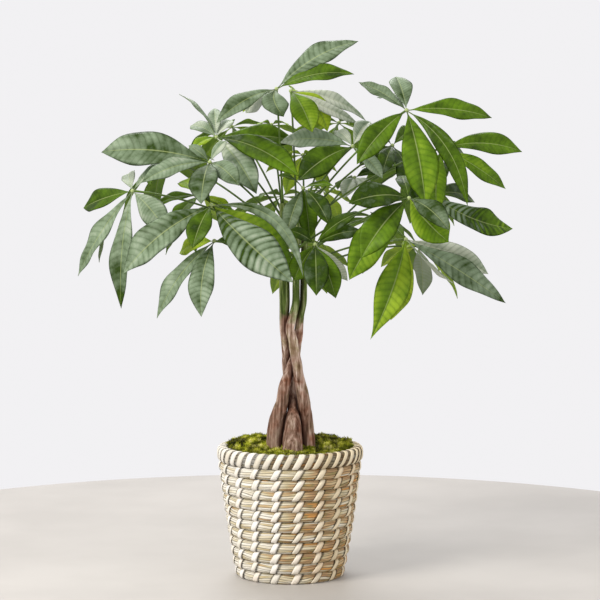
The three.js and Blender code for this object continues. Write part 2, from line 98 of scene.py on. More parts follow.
def linear(hex_colour):
    """Turn an sRGB hex colour into the linear red, green, blue and alpha that shaders read."""
    shares = [int(hex_colour[i:i + 2], 16) / 255 for i in (1, 3, 5)]
    return [s / 12.92 if s <= 0.04045 else ((s + 0.055) / 1.055) ** 2.4 for s in shares] + [1.0]


def add_node(tree, kind, inputs=None, stops=None, **settings):
    """Add one shader node with its settings, its ramp stops and its inputs."""
    node = tree.nodes.new("ShaderNode" + kind)
    for name, value in settings.items():
        setattr(node, name, value)
    if stops:
        ramp = node.color_ramp.elements
        while len(ramp) < len(stops):
            ramp.new(0.5)
        for element, (place, hex_colour) in zip(ramp, stops):
            element.position = place
            element.color = linear(hex_colour)
    for socket, value in (inputs or {}).items():
        if isinstance(value, bpy.types.Node):
            value = next(output for output in value.outputs if output.enabled)
        if isinstance(value, bpy.types.NodeSocket):
            tree.links.new(value, node.inputs[socket])
        else:
            node.inputs[socket].default_value = value
    return node


def new_material(name):
    """Start a material with an empty node tree and return both."""
    material = bpy.data.materials.new(name)
    material.use_nodes = True
    material.node_tree.nodes.clear()
    return material, material.node_tree


print("middle grey in linear light", round(linear("#808080")[0], 3))

# %% [markdown]
# ## Floor and light
#
# The plant stands on a plain pale round floor, whose far edge shows as a soft
# line behind it. The light is that of a studio: a wide soft box on the left, a
# weaker one above and behind that shines through the leaves, a weak warm
# reflector on the right, and an even glow from all round. Wide lights give soft
# shadows and the broad grey sheen of waxy leaves.

# %% Floor and lights
FLOOR_RADIUS = 760.0
FLOOR_EDGE = 14.0
FLOOR_SIDES = 128
GLOW_STRENGTH = 0.98

floor_material, tree = new_material("pale_floor_paint")
grain = add_node(tree, "TexNoise", {"Scale": 9.0, "Detail": 4.0})
tint = add_node(tree, "ValToRGB", {"Fac": grain}, stops=[(0.35, "#a9a5a0"), (0.65, "#b1ada8")])
paint = add_node(tree, "BsdfPrincipled", {"Base Color": tint, "Roughness": 0.55})
add_node(tree, "OutputMaterial", {"Surface": paint})

bm = bmesh.new()
bmesh.ops.create_cone(bm, cap_ends=True, segments=FLOOR_SIDES, radius1=FLOOR_RADIUS * MM,
                      radius2=FLOOR_RADIUS * MM, depth=FLOOR_EDGE * MM,
                      matrix=Matrix.Translation((0.0, 0.0, -FLOOR_EDGE * MM / 2)))
floor_mesh = bpy.data.meshes.new("floor")
bm.to_mesh(floor_mesh)
bm.free()
floor_mesh.materials.append(floor_material)
floor = bpy.data.objects.new("floor", floor_mesh)
bpy.context.scene.collection.objects.link(floor)

world = bpy.data.worlds.new("even_glow")
world.use_nodes = True
world.node_tree.nodes["Background"].inputs["Color"].default_value = linear("#f4f3f5")
world.node_tree.nodes["Background"].inputs["Strength"].default_value = GLOW_STRENGTH
bpy.context.scene.world = world
bpy.context.scene.view_settings.view_transform = "Standard"

# Each light: name, place in mm, what it aims at in mm, width and height in mm, power in watts, colour
LIGHTS = [
    ("soft_box_left", (-1300, -1150, 1750), (0, 0, 400), (900, 1300), 48.0, "#fffaf2"),
    ("soft_box_behind", (-300, 1500, 1900), (0, 0, 480), (1600, 900), 26.0, "#ffffff"),
    ("reflector_right", (1500, -900, 700), (0, 0, 300), (1200, 1200), 5.0, "#fff6ea"),
]
for name, place, aim, size, power, hex_colour in LIGHTS:
    light = bpy.data.lights.new(name, "AREA")
    light.shape = "RECTANGLE"
    light.size = size[0] * MM
    light.size_y = size[1] * MM
    light.energy = power
    light.color = linear(hex_colour)[:3]
    lamp = bpy.data.objects.new(name, light)
    lamp.location = Vector(place) * MM
    lamp.rotation_euler = (Vector(aim) - Vector(place)).to_track_quat("-Z", "Y").to_euler()
    bpy.context.scene.collection.objects.link(lamp)
print("lights", [row[0] for row in LIGHTS])

# %% [markdown]
# ## Helpers for shapes
#
# Nearly everything on a plant is a sheet that was bent: a blade, a stalk's bark,
# a strap. So the main helper makes a flat grid, which brings its own UV map, and
# moves each of its corners to the place that a function gives for it. The tone
# that a material reads can be one number or a function of the same kind. Where two
# edges meet, such as round a stalk or at a blade's margin, they are welded, so
# the shape ends up closed. A tube is that grid rolled round a row of centres.
# Rows of given measures are read through a smooth curve.

# %% Shape helpers
# How close two corners must be to be joined, in mm
WELD = 0.004


def clamp(share):
    """Keep a number between 0 and 1."""
    return min(max(share, 0.0), 1.0)


def shaped_grid(bm, along, across, place, material=0, tone=0.5, uv=None):
    """Bend a flat grid: place(i, j) gives the point of the corner i along and j across."""
    tones = bm.verts.layers.float["tone"]
    uvs = bm.loops.layers.uv["UVMap"]
    corners = bmesh.ops.create_grid(bm, x_segments=along, y_segments=across, size=0.5, calc_uvs=True)["verts"]
    for face in {face for corner in corners for face in corner.link_faces}:
        face.material_index = material
        face.smooth = True
        if uv:
            for loop in face.loops:
                loop[uvs].uv = uv(*loop[uvs].uv)
    for corner in corners:
        i = round((corner.co.x + 0.5) * along)
        j = round((corner.co.y + 0.5) * across)
        corner[tones] = tone(i, j) if callable(tone) else tone
        corner.co = place(i, j)
    return corners


def weld(bm, corners):
    """Join the corners that meet, then turn the faces of that closed shape outwards."""
    faces = {face for corner in corners for face in corner.link_faces}
    bmesh.ops.remove_doubles(bm, verts=corners, dist=WELD)
    bmesh.ops.recalc_face_normals(bm, faces=[face for face in faces if face.is_valid])


def tube(bm, centres, radii, sides, material=0, tone=0.5, relief=None):
    """Roll a grid round a row of centres and close both ends."""
    last = len(centres) - 1
    side = (centres[1] - centres[0]).orthogonal()
    rings = []
    for i in range(last + 1):
        tangent = (centres[min(i + 1, last)] - centres[max(i - 1, 0)]).normalized()
        side = (side - tangent * side.dot(tangent)).normalized()
        rings.append((side.copy(), tangent.cross(side)))

    def place(i, j):
        row = min(max(i - 1, 0), last)
        angle = 2 * math.pi * j / sides
        radius = radii[row] if i == row + 1 else 0.0
        if relief:
            radius *= relief(row, angle)
        return centres[row] + (rings[row][0] * math.cos(angle) + rings[row][1] * math.sin(angle)) * radius

    corners = shaped_grid(bm, last + 2, sides, place, material, tone)
    weld(bm, corners)


def read_rows(rows, x):
    """Read the values at x on a smooth curve through rows, whose first number is x."""
    last = len(rows) - 1
    i = next((k for k in range(last) if x < rows[k + 1][0]), last - 1)
    before, low, high, after = (rows[min(max(k, 0), last)] for k in (i - 1, i, i + 1, i + 2))
    span = high[0] - low[0]
    t = clamp((x - low[0]) / span)
    values = []
    for k in range(1, len(low)):
        slope_low = (high[k] - before[k]) / (high[0] - before[0])
        slope_high = (after[k] - low[k]) / (after[0] - low[0])
        values.append((2 * t ** 3 - 3 * t ** 2 + 1) * low[k] + (t ** 3 - 2 * t ** 2 + t) * span * slope_low
                      + (3 * t ** 2 - 2 * t ** 3) * high[k] + (t ** 3 - t ** 2) * span * slope_high)
    return values


def new_piece():
    """Start an empty mesh with the layers that every piece of the plant carries."""
    bm = bmesh.new()
    bm.loops.layers.uv.new("UVMap")
    bm.verts.layers.float.new("tone")
    return bm


def finish_piece(bm, name, materials, slot, *nodes):
    """Turn millimetres to metres, make the object and let it ride in place of its solids."""
    bmesh.ops.scale(bm, vec=(MM, MM, MM), verts=bm.verts)
    mesh = bpy.data.meshes.new(name)
    bm.to_mesh(mesh)
    bm.free()
    for material in materials:
        mesh.materials.append(material)
    piece = bpy.data.objects.new(name, mesh)
    bpy.context.scene.collection.objects.link(piece)
    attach(piece, "root")
    if nodes:
        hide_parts(*nodes)
    return piece


print("half way up a straight ramp", read_rows([(0, 0.0), (1, 1.0), (2, 2.0)], 0.5))

# %% [markdown]
# ## The finish of a leaf
#
# A money tree's leaflet has a waxy cuticle above, so it is deep green with a
# soft gloss, and a paler, matt skin below, where the veins stand out. It is
# thin, and light that comes through it turns a bright yellow-green. The shader
# therefore mixes a principled surface with a translucent one. The blade's UV map
# runs along the leaflet from 0 at its base to 1 at its tip, and the grid lines
# across it follow the side veins, so the veins can be drawn from the map alone.
# A tone attribute, set for each leaflet, runs from -1 for a painted silvery
# sheen, the reflection of the light painted on the leaflet, through 0 for an old,
# dark one, to 1 for a young, bright one.

# %% Leaf materials
# Side veins on each half of a leaflet
VEINS = 16
# Clouds are 22 mm across, and cells between the smallest veins 0.8 mm. Both are given in a metre.
LEAF_CLOUDS = 46.0
LEAF_CELLS = 1250.0
CLOUDING = 0.22


def leaf_material(name, ground_stops, glow_stops, vein, rib, roughness, wax, glow):
    """Build one face of a leaf. Its stops run from a painted silvery sheen through dark and green to young.
    """
    material, tree = new_material(name)
    where = add_node(tree, "TexCoord")
    # Side veins, midrib and the crest of the tissue between two veins, from the leaflet's own map
    split = add_node(tree, "SeparateXYZ", {"Vector": where.outputs["UV"]})
    count = add_node(tree, "Math", {0: split.outputs["X"], 1: float(VEINS)}, operation="MULTIPLY")
    to_vein = add_node(tree, "Math", {0: count, 1: 0.5}, operation="PINGPONG")
    vein_mask = add_node(tree, "MapRange", {"Value": to_vein, "From Min": 0.02, "From Max": 0.13,
                                            "To Min": 0.22, "To Max": 0.0}, interpolation_type="SMOOTHSTEP")
    across = add_node(tree, "Math", {0: split.outputs["Y"], 1: 0.5}, operation="SUBTRACT")
    off_rib = add_node(tree, "Math", {0: across}, operation="ABSOLUTE")
    rib_mask = add_node(tree, "MapRange", {"Value": off_rib, "From Min": 0.006, "From Max": 0.026,
                                           "To Min": 0.5, "To Max": 0.0}, interpolation_type="SMOOTHSTEP")
    crest = add_node(tree, "MapRange", {"Value": to_vein, "From Max": 0.5, "To Min": 0.92,
                                        "To Max": 1.05}, interpolation_type="SMOOTHSTEP")
    # The leaflet's tone, painted stronger on the crests as a painted sheen, and clouded
    tone = add_node(tree, "Attribute", attribute_name="tone")
    crested = add_node(tree, "Math", {0: tone.outputs["Fac"], 1: crest}, operation="MULTIPLY")
    clouds = add_node(tree, "TexNoise", {"Vector": where.outputs["Object"], "Scale": LEAF_CLOUDS,
                                         "Detail": 4.0, "Roughness": 0.6})
    cloudy = add_node(tree, "MapRange", {"Value": clouds, "From Min": 0.3, "From Max": 0.7,
                                         "To Min": -CLOUDING, "To Max": CLOUDING})
    toned = add_node(tree, "Math", {0: crested, 1: cloudy}, operation="ADD")
    share = add_node(tree, "MapRange", {"Value": toned, "From Min": -1.0, "From Max": 1.0})
    ground = add_node(tree, "ValToRGB", {"Fac": share}, stops=ground_stops)
    shining = add_node(tree, "ValToRGB", {"Fac": share}, stops=glow_stops)
    # On the upper face the veins are drawn dark: partly their own colour, partly painted shade in their
    # grooves
    veined = add_node(tree, "Mix", {0: vein_mask, MIX_A: ground, MIX_B: linear(vein)}, **BLEND)
    colour = add_node(tree, "Mix", {0: rib_mask, MIX_A: veined, MIX_B: linear(rib)}, **BLEND)
    # Relief of the cells, gloss that varies, and light that comes through
    cells = add_node(tree, "TexVoronoi", {"Vector": where.outputs["Object"], "Scale": LEAF_CELLS})
    bump = add_node(tree, "Bump", {"Height": cells, "Strength": 0.2, "Distance": 0.0003})
    gloss = add_node(tree, "MapRange", {"Value": clouds, "From Min": 0.3, "From Max": 0.7,
                                        "To Min": roughness - 0.05, "To Max": roughness + 0.07})
    skin = add_node(tree, "BsdfPrincipled", {"Base Color": colour, "Roughness": gloss, "Normal": bump,
                                             "IOR": 1.5, "Specular IOR Level": 0.07, "Coat Weight": wax,
                                             "Coat Roughness": 0.24})
    glowing = add_node(tree, "BsdfTranslucent", {"Color": shining})
    both = add_node(tree, "MixShader", {0: glow, 1: skin, 2: glowing})
    add_node(tree, "OutputMaterial", {"Surface": both})
    return material


leaf_above = leaf_material(
    "waxy_leaf_upper_face",
    [(0.0, "#d2d8c6"), (0.28, "#84967a"), (0.49, "#2a3e08"), (0.72, "#60801a"), (1.0, "#a0ba36")],
    [(0.0, "#8c9c78"), (0.5, "#4f7210"), (0.75, "#8fb01c"), (1.0, "#dce650")],
    "#20340a", "#afbc7c", 0.42, 0.09, 0.24)
leaf_below = leaf_material(
    "matt_leaf_lower_face",
    [(0.0, "#b3bdaa"), (0.5, "#66804a"), (0.75, "#8ea54c"), (1.0, "#b8cf58")],
    [(0.0, "#9fae8c"), (0.5, "#6c9a1e"), (0.75, "#aace2c"), (1.0, "#e6f460")],
    "#8fa266", "#c9d3a4", 0.62, 0.0, 0.42)

# %% [markdown]
# ## The finish of a leaf stalk
#
# Stalks and midribs are tougher tissue: pale yellow-green, smooth and a little
# glossy, with faint lines along them.

# %% Stalk material
leaf_stalk, tree = new_material("smooth_green_stalk")
where = add_node(tree, "TexCoord")
clouds = add_node(tree, "TexNoise", {"Vector": where.outputs["Object"], "Scale": 60.0, "Detail": 2.0})
tone = add_node(tree, "Attribute", attribute_name="tone")
plain = add_node(tree, "ValToRGB", {"Fac": clouds}, stops=[(0.3, "#33480f"), (0.7, "#557224")])
pale = add_node(tree, "Mix", {0: tone.outputs["Fac"], MIX_A: plain, MIX_B: linear("#b9c78a")}, **BLEND)
skin = add_node(tree, "BsdfPrincipled", {"Base Color": pale, "Roughness": 0.42, "IOR": 1.45,
                                         "Specular IOR Level": 0.25})
add_node(tree, "OutputMaterial", {"Surface": skin})
print("leaf materials", leaf_above.name, leaf_below.name, leaf_stalk.name)

# %% [markdown]
# ## The leaves and where they stand
#
# A money tree's leaf is compound: up to eight leaflets spread from a hub at
# the end of a long stalk. The leaves that the front shows were placed one by one
# from the photograph, with their stem, root height, hub, facing direction and
# the tip of each leaflet. The ones behind follow the plant's own rule. Both
# lists are the ones that the solids were made from, so each dressed leaf lies on
# its solid. The tone is how young and bright a leaf is, and partly painted light:
# a painted silvery sheen at its low end, and lighter tones on leaves in shade.

# %% Leaf tables
# A leaflet is its tip x, y, z, then its width as a share of its length, its roll in degrees,
# its sideways bow as a share of its length and how much it narrows towards its tip.
FRONT_LEAVES = [
    ("stem_left", 444, (139, -45, 568), (0.15, -0.8, 0.58), 0.5, [
        (242, -30, 559, 0.28, 0, 0.03), (159, -95, 456, 0.36), (209, -85, 455, 0.17, 40, -0.1),
        (79, -75, 504), (83, -10, 602, 0.27, 0, -0.04), (128, 0, 609, 0.46), (106, 15, 584, 0.24)]),
    ("stem_left", 430, (187, 25, 523), (0.2, -0.75, 0.6), 0.35, [
        (286, 40, 518), (264, 20, 473, 0.3, 0, 0.06), (222, 90, 506), (178, -20, 441, 0.28, 0, 0.06),
        (215, 90, 480)]),
    ("stem_middle", 422, (-96, -30, 506), (-0.2, -0.8, 0.55), 0.25, [
        (-227, -20, 518, 0.36, 0, -0.02, -0.12), (-176, -60, 482, 0.3), (-103, -105, 458, 0.4),
        (-59, -85, 479, 0.38), (-122, -20, 526, 0.4), (-76, -18, 532, 0.4)]),
    ("stem_middle", 406, (-188, -40, 472), (-0.35, -0.75, 0.55), 0.3, [
        (-251, 0, 450, 0.4, 0, -0.06), (-254, -40, 370, 0.26, 12, -0.05), (-199, -80, 334, 0.22, 12),
        (-147, -62, 426, 0.5), (-146, -20, 505, 0.3), (-198, 25, 491, 0.3), (-234, 15, 383, 0.24, 50)]),
    ("stem_right", 388, (-92, -80, 456), (-0.1, -0.75, 0.65), 0.2, [
        (-194, -100, 377, 0.36), (-112, -128, 408, 0.42), (4, -125, 368, 0.38, 0, 0.08),
        (16, -112, 373, 0.11, 35, -0.2), (3, -45, 370, 0.38), (-120, -30, 482, 0.32)]),
    ("stem_right", 364, (-88, -100, 415), (-0.2, -0.8, 0.5), 0.25, [
        (-154, -120, 326, 0.28, 20), (-101, -150, 330, 0.32, 0, 0.04), (-131, -60, 398, 0.42),
        (-60, -50, 396)]),
    ("stem_middle", 456, (-16, -20, 594), (0.05, -0.7, 0.7), 0.45, [
        (83, 10, 652, 0.28), (77, -30, 611, 0.3), (-87, -50, 553, 0.3), (-7, -58, 560, 0.62, 0, 0.15),
        (-53, -18, 565, 0.6), (-57, -10, 566, 0.3)]),
    ("stem_right", 434, (1, 35, 593), (0.1, -0.85, 0.5), 0.75, [
        (27, -15, 542, 0.46), (46, 52, 543, 0.42, 0, -0.1), (85, 70, 553, 0.16, 10, 0.07),
        (95, 95, 557, 0.17), (10, 105, 580, 0.36)]),
    ("stem_middle", 436, (-90, 20, 536), (-0.1, -0.7, 0.7), 0.3, [
        (-137, 50, 589, 0.2, 50), (-94, 65, 572, 0.32), (-72, 60, 557, 0.4), (-124, 60, 550, 0.4),
        (-118, -5, 522, 0.4), (-40, -30, 468, 0.36), (11, -32, 489, 0.32), (9, 27, 531, 0.36, 0, 0.06)]),
    ("stem_left", 452, (76, 0, 525), (0.1, -0.8, 0.55), 0.2, [
        (55, 30, 544, 0.45), (99, 45, 555, 0.42), (-13, 10, 529, 0.34), (10, -35, 484, 0.44),
        (112, -12, 486, 0.36)]),
    ("stem_left", 404, (80, 60, 486), (0.1, -0.7, 0.7), 0.25, [
        (66, 15, 462, 0.4), (98, 20, 468, 0.4), (112, 75, 493, 0.42), (60, 110, 470)]),
    ("stem_right", 400, (139, -105, 465), (0, -0.85, 0.5), 0.55, [
        (68, -145, 460, 0.44), (82, -150, 397, 0.4), (182, -160, 430, 0.36), (132, -50, 490),
        (70, -95, 369, 0.36), (184, -128, 415, 0.6, 0, 0.1)]),
    ("stem_right", 376, (138, -60, 415), (0.2, -0.75, 0.6), 0.5, [
        (95, -90, 298, 0.48, 0, -0.05, 0.75), (192, -95, 365, 0.34, 120), (257, -60, 339, 0.26, 0, 0.07),
        (240, -20, 371, 0.26, 50), (122, -20, 315, 0.3, 0, -0.03), (113, -5, 429)]),
    ("stem_left", 392, (171, 0, 466), (0.25, -0.7, 0.65), 0.3, [
        (271, 0, 425, 0.4, 0, 0.21), (191, 50, 505), (230, 65, 455), (195, 45, 440)]),
    ("stem_right", 352, (30, -80, 410), (0.05, -0.85, 0.5), 0.25, [
        (31, -130, 353, 0.4), (54, -105, 348, 0.4), (69, -55, 365, 0.28, 45), (85, -60, 425),
        (82, -115, 449, 0.24), (5, -62, 366, 0.5), (-1, -86, 427, 0.46)]),
    ("stem_right", 420, (16, -25, 475), (0, -0.6, 0.8), 0.2, [
        (24, -40, 415, 0.38), (-4, -62, 419, 0.34), (47, -75, 432), (52, -40, 478), (-14, -58, 490)]),
    ("stem_left", 438, (127, 60, 526), (0.2, -0.6, 0.75), 0.3, [
        (164, 5, 445, 0.44), (112, 5, 490), (165, 115, 545), (95, 75, 548), (85, 40, 500)]),
    ("stem_middle", 390, (-111, 30, 464), (-0.2, -0.5, 0.8), 0.5, [
        (-165, 20, 452, 0.38), (-142, -15, 428, 0.36), (-139, 85, 480), (-90, 70, 430), (-70, 30, 445)]),
]
# A leaf at the back is its stem, root height, hub, heading in degrees, the length of its leaflets
# and its tone.
# The brightest tones here are partly young colour, partly painted light on leaves that lie in shade.
BACK_LEAVES = [
    ("stem_middle", 414, (-156, 90, 510), 155, 105, 0.3),
    ("stem_middle", 442, (-75, 135, 550), 115, 105, 0.4),
    ("stem_left", 448, (62, 135, 555), 70, 105, 0.45),
    ("stem_left", 382, (150, 120, 500), 40, 105, 0.3),
    ("stem_middle", 376, (-116, 140, 444), 145, 80, 0.4),
    ("stem_middle", 398, (-12, 185, 460), 95, 110, 0.35),
    ("stem_left", 390, (110, 165, 432), 60, 105, 0.25),
    ("stem_right", 430, (40, 110, 470), 90, 60, 0.85),
    ("stem_left", 372, (160, 75, 400), 35, 90, 0.7),
    ("stem_left", 410, (16, 110, 514), 80, 70, 0.9),
    ("stem_middle", 428, (-24, 95, 552), 95, 66, 0.6),
    ("stem_middle", 366, (15, 110, 400), 95, 90, 0.6),
]
# The tone of a leaflet that the front shows plainly, by the leaf's number and its own place in
# it. Two numbers are the tones at its base and at its tip.
# Negative tones are a painted silvery sheen, and some leaflets in shade get lighter tones, as painted light.
TONES = {
    (1, 0): 0.27, (1, 1): (0.2, 0.6), (1, 2): 0.2, (1, 3): (0.15, 0.35), (1, 4): -0.3, (1, 5): -0.35,
    (1, 6): -0.4,
    (2, 0): (0.15, 0.35), (2, 1): 0.4, (2, 2): 0.1, (2, 3): 0.4,
    (3, 0): (-0.12, -0.27), (3, 1): (-0.6, -0.25), (3, 2): -0.12, (3, 3): -0.3, (3, 4): -0.3, (3, 5): -0.55,
    (4, 0): 0.1, (4, 1): -0.38, (4, 2): (-0.55, -0.12), (4, 3): (-0.6, -0.25), (4, 4): -0.5, (4, 5): -0.65,
    (4, 6): -0.5,
    (5, 0): (-0.2, -0.4), (5, 1): 0.15, (5, 2): (0.0, -0.75), (5, 3): (-0.1, -0.5), (5, 4): 0.55,
    (5, 5): -0.1,
    (6, 0): (-0.15, -0.5), (6, 1): (-0.1, -0.5), (6, 2): 1.0, (6, 3): 0.2,
    (7, 0): -0.25, (7, 1): 0.22, (7, 2): -0.3, (7, 3): (-0.4, -0.1), (7, 4): -1.0, (7, 5): 0.9,
    (8, 0): (0.3, 0.7), (8, 1): 1.0, (8, 2): -1.0, (8, 3): -0.8, (8, 4): 0.6,
    (9, 0): -0.3, (9, 1): -0.55, (9, 2): -0.7, (9, 3): -0.45, (9, 4): 0.7, (9, 5): (-0.75, -0.3),
    (9, 6): (-0.15, 0.6), (9, 7): 0.2,
    (10, 0): -0.7, (10, 1): -0.7, (10, 2): -0.5, (10, 3): 0.12, (10, 4): -0.45,
    (11, 0): -0.7, (11, 1): -0.75, (11, 2): 0.0, (11, 3): 0.1,
    (12, 0): 0.0, (12, 1): (0.15, 0.35), (12, 2): -0.16, (12, 3): 0.0, (12, 4): 0.5, (12, 5): 0.55,
    (13, 0): (0.5, 0.75), (13, 1): -0.8, (13, 2): (-0.2, -0.42), (13, 3): -0.9, (13, 4): 0.9, (13, 5): 0.2,
    (14, 0): (-0.35, 0.4), (14, 1): 0.0, (14, 2): 0.1, (14, 3): 0.0,
    (15, 0): 0.0, (15, 1): 0.3, (15, 2): -0.8, (15, 3): 0.0, (15, 4): 0.0, (15, 5): 0.3, (15, 6): 0.0,
    (16, 0): 0.3, (16, 1): -0.2, (16, 2): 0.0, (16, 3): 0.3, (16, 4): 0.1,
    (17, 0): 0.0, (17, 1): 0.0, (17, 2): 0.1, (17, 3): 0.1, (17, 4): 0.0,
    (18, 0): 0.3, (18, 1): 0.4, (18, 2): 0.7, (18, 3): 0.9, (18, 4): 0.7,
    (27, 3): -0.9,
}
# Leaflets whose tissue bulges more between the veins than usual, and how much more
# Their crests also get a painted sheen, the stronger the deeper they are.
DEEP_VEINS = {(3, 0): 1.3, (5, 0): 1.5, (5, 2): 3.4, (6, 1): 1.5, (7, 0): 1.7, (13, 2): 1.6, (14, 0): 3.4}
# Leaflets of a back leaf: how many, the angle they fan over, how much shorter the last ones are
# and at which angle from the middle, how far they hang and how far the leaf tilts
BACK_LEAFLETS = 6
BACK_FAN = math.radians(290)
BACK_SHORTENING = 0.42
BACK_SHORT_ANGLE = math.radians(144)
BACK_HANG = math.radians(28)
BACK_TILT = math.radians(30)
# Width, roll, bow and narrowing of a leaflet that names none
USUAL = (0.34, 0.0, 0.0, 0.0)


def back_leaflets(hub, heading, size):
    """Fan leaflets round a hub, longest ahead, hanging a little below it."""
    outward = Vector((math.cos(heading), math.sin(heading), 0.0))
    face = outward * math.sin(BACK_TILT) + Vector((0.0, 0.0, math.cos(BACK_TILT)))
    ahead = outward * math.cos(BACK_TILT) - Vector((0.0, 0.0, math.sin(BACK_TILT)))
    across = face.cross(ahead)
    tips = []
    for i in range(BACK_LEAFLETS):
        spread = (i / (BACK_LEAFLETS - 1) - 0.5) * BACK_FAN
        length = size * (1 - BACK_SHORTENING * abs(spread) / BACK_SHORT_ANGLE)
        reach = ahead * math.cos(spread) + across * math.sin(spread)
        reach = reach * math.cos(BACK_HANG) - face * math.sin(BACK_HANG)
        tips.append(tuple(hub + reach * length))
    return face, tips


print("leaves", len(FRONT_LEAVES) + len(BACK_LEAVES))

# %% [markdown]
# ## The stems' course
#
# Three stems were braided when they were young. Each row below is a height, the
# centre of the stem there and its diameter, as measured up the photograph: the
# left stem leans right and passes behind, the right one crosses in front, and
# the middle one goes behind both and comes out on the left. The stalks of the
# leaves need these rows too, so they come before the leaves.

# %% Stem table
STEM_ROWS = {
    "stem_left": [
        (100, -19, 4, 21), (168, -18.2, 3, 20.6), (188, -15.7, 2, 20.3), (204, -12, -1, 17.3),
        (213, -9.5, -2, 15.4), (232, -7, -3, 14), (249, -1, -1, 12.4), (259, 2.4, 1, 11.8),
        (268, 6, 4, 11.4), (284, 8.5, 5, 11), (295, 10.5, 5, 10.6), (304, 11, 4, 10.2),
        (319, 12.5, 3, 9.6), (335, 16, 2, 8.8), (353, 16.6, 1, 8.6), (400, 17.4, 1, 8),
        (456, 18.5, 2, 6.6),
    ],
    "stem_middle": [
        (100, 5, -12, 26), (154, 3.7, -12, 25), (168, 3, -8, 23.3), (188, 3.7, -5.5, 18.8),
        (196, 3.5, -3.5, 16), (204, 3.4, 2, 13), (213, 2.8, 6.5, 13.4), (221, 1.8, 10, 13.4),
        (232, 0, 11, 13), (249, -3, 12, 12.2), (259, -4, 12.5, 11.6), (268, -4, 10, 11.2),
        (284, -5, 6, 11.2), (295, -6, 4, 11.4), (304, -7, 3, 11.4), (319, -7, 2, 11.8),
        (335, -6.5, 1, 12.6), (353, -6.8, 2, 12.8), (400, -7, 3, 10.4), (456, -9, 4, 8),
    ],
    "stem_right": [
        (100, 22, 5, 20), (168, 21.5, 4, 18), (188, 20, 4, 17), (196, 19.2, 2.5, 16),
        (204, 17.8, -0.5, 15.4), (213, 16.9, -2.2, 15.2), (232, 13.7, -4, 14), (249, 10, -8, 12.4),
        (259, 9, -9, 12.2), (268, 7, -8.5, 12), (284, 4.5, -8, 11.6), (295, 2, -7.5, 11),
        (304, 0, -7, 10.6), (319, 3.5, -6.5, 10), (335, 7, -5, 9.2), (353, 7.4, -4.5, 8.8),
        (400, 8, -5, 8), (440, 8.5, -7, 6.4),
    ],
}


def stem_centre(name, height):
    """The middle of a stem at a height."""
    x, y, _ = read_rows(STEM_ROWS[name], height)
    return Vector((x, y, height))


print("stems", {name: rows[-1][0] for name, rows in STEM_ROWS.items()}, "mm high")

# %% [markdown]
# ## Making a leaflet
#
# One leaflet is two fine grids, its upper and lower face, welded where they meet
# at the margin. Every third line across the grid is a side vein. The lines slant
# forward, as the veins do, and the tissue bulges up between them, which gives
# the quilted look. The blade follows the same arch as its solid, it is folded
# along the midrib, and its margin waves. The half that faces the main light is
# painted with the stronger tone, as painted light, and where the veins lie deep
# the crests between them get a painted sheen, in patches. The midrib is a slim
# tapered tube that stands a little proud of both faces and runs back to the hub
# as the leaflet's own short stalk.
#
# A flat card with a picture of a leaf would be quicker, but it has no thickness
# and no fold, and from the side it vanishes. Veins drawn only by bump would lie
# flat at the margin, so they are in the grid.

# %% Sizes of a leaflet
BLADE_ARCH = 0.1
BLADE_ROOT = 1.2
BLADE_THICKNESS = 0.7
BLADE_ROWS = VEINS * 3
BLADE_COLUMNS = 12
VEIN_SLANT = 0.5
FOLD = 0.42
FOLD_ROUNDING = 0.26
# The margin's waves: their height as a share of the length, and how many a leaflet may have
WAVE = 0.018
WAVE_COUNTS = (1.6, 2.6)
QUILT = 0.044
# A leaflet turns by up to this angle, about the place where it stays level
TWIST = 0.14
TWIST_CENTRE = 0.4
# The midrib of a leaflet of the usual length
USUAL_LENGTH = 110
RIB_ROOT_RADIUS = 0.75
RIB_TIP_RADIUS = 0.15
RIB_SINK = 0.25
RIB_SIDES = 6
RIB_TONE = 0.5
# How much stronger the tone is painted on the half that faces the main light, as painted light
PAINTED_LIT_SIDE = 1.5
TO_MAIN_LIGHT = (Vector(LIGHTS[0][1]) - Vector(LIGHTS[0][2])).normalized()
# The painted sheen on deep crests, the length and contrast of its patches, and the width in mm
# that half a blade counts for in them
PAINTED_CREST_SHEEN = 0.15
SHEEN_PATCH = 13.0
PATCH_CONTRAST = 2.2
HALF_BLADE = 9.0
# A leaf's materials in their order
UPPER_FACE = 0
LOWER_FACE = 1
STALK = 2
# Half width along the leaflet: a narrow wedge, widest past the middle, then a drawn-out point
OUTLINE = [(0.0, 0.03), (0.06, 0.06), (0.15, 0.34), (0.3, 0.76), (0.45, 0.97), (0.6, 0.93),
           (0.74, 0.71), (0.86, 0.4), (0.94, 0.17), (1.0, 0.0)]
OUTLINE_STEPS = [max(read_rows(OUTLINE, i / BLADE_ROWS)[0], 0.0) for i in range(BLADE_ROWS + 1)]
print("widest at", OUTLINE_STEPS.index(max(OUTLINE_STEPS)) / BLADE_ROWS, "of a leaflet's length")


